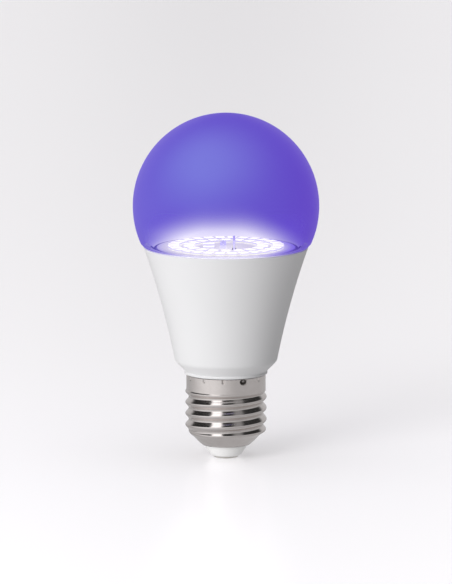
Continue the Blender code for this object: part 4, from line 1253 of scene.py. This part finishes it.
def make_floor():
    bm = bmesh.new()
    bmesh.ops.create_grid(bm, x_segments=1, y_segments=1, size=6.0)
    floor = meshed("floor", bm)
    light = {"emission_color": (1.0, 0.985, 1.0), "emission_strength": 0.30}
    finish = Finish("floor_pale", roughness=0.25, specular_ior_level=0.35, **light)
    cloud = finish.noise(finish.place(), 0.002, 1.0)
    finish.set("Base Color", cloud.between((0.88, 0.865, 0.885), (0.90, 0.89, 0.905)))
    floor.data.materials.append(finish.material)
    floor.visible_glossy = floor.visible_diffuse = floor.visible_shadow = False


def make_world():
    """A pale soft room over a white table. Metal sees a dark ceiling with two cards of light fanned out in it."""
    world = bpy.data.worlds.new("studio")
    SCENE.world = world
    world.use_nodes = True
    nodes = Nodes(world.node_tree)
    x, y, z = nodes.parts(nodes.add("ShaderNodeTexCoord", output="Generated"))
    below = 1 - z.rise(-0.02, 0.02)
    room = below * (0.665 - x * 0.43) + z.clamped() ** 3.0 * 1.5 + 0.05
    # A direction as it fans out from the front: how far aside and how far up it goes, for each step back.
    back = 0.99 - y
    aside = x / back
    lift = (z + 0.156) / distance(x, back)
    left_card = aside.band(-0.43, -0.14, 0.03) * 1.6
    right_card = aside.band(0.17, 0.43, 0.06) * 0.26
    walls = aside.absolute().rise(1.45, 2.1) * 0.55
    ceiling = (left_card + right_card) * (1 - y.rise(0.0, 0.5)) + walls + 0.03
    lit_side = (-x * 0.755 - y * 0.656).clamped()
    table = (lit_side ** 2.0 * 0.46 + 0.50) * (1 - lift.band(-0.34, -0.22, 0.03) * 0.55)
    high = lift.rise(0.30, 0.42)
    mirrored = high * ceiling + (1 - high) * table
    glossy = nodes.add("ShaderNodeLightPath", output="Is Glossy Ray")
    seen = nodes.add("ShaderNodeLightPath", output="Is Camera Ray")
    unseen = glossy * mirrored + (1 - glossy) * room
    background = world.node_tree.nodes["Background"]
    nodes.feed(background.inputs["Color"], (1.0, 0.99, 1.0, 1.0))
    nodes.feed(background.inputs["Strength"], seen * 0.93 + (1 - seen) * unseen)


def make_key_light():
    """One wide soft light, high at the front left."""
    lamp = bpy.data.lights.new("key", "AREA")
    lamp.shape = "SQUARE"
    lamp.size = 0.6
    lamp.energy = 6.9
    key = linked("key", lamp)
    key.location = (-0.53, -0.84, 0.465)
    key.rotation_euler = (Vector((0, 0, 0.05)) - key.location).to_track_quat("-Z", "Y").to_euler()
    key.visible_glossy = False


def make_camera():
    """A long lens, far off and a little above the bulb."""
    data = bpy.data.cameras.new("camera")
    camera = linked("camera", data)
    SCENE.camera = camera
    data.lens = data.sensor_width * DISTANCE / FRAME_HEIGHT
    data.clip_end = 30.0
    back = Vector((0, -math.cos(ELEVATION), math.sin(ELEVATION)))
    camera.location = AIM + back * DISTANCE
    camera.rotation_euler = (-back).to_track_quat("-Z", "Y").to_euler()


def make_scene():
    make_camera()
    make_globe()
    make_housing()
    make_screw_shell()
    make_plug()
    make_contact()
    make_led_board()
    make_leds()
    make_inside()
    make_floor()
    make_world()
    make_key_light()
    SCENE.view_settings.view_transform = "Standard"


make_scene()
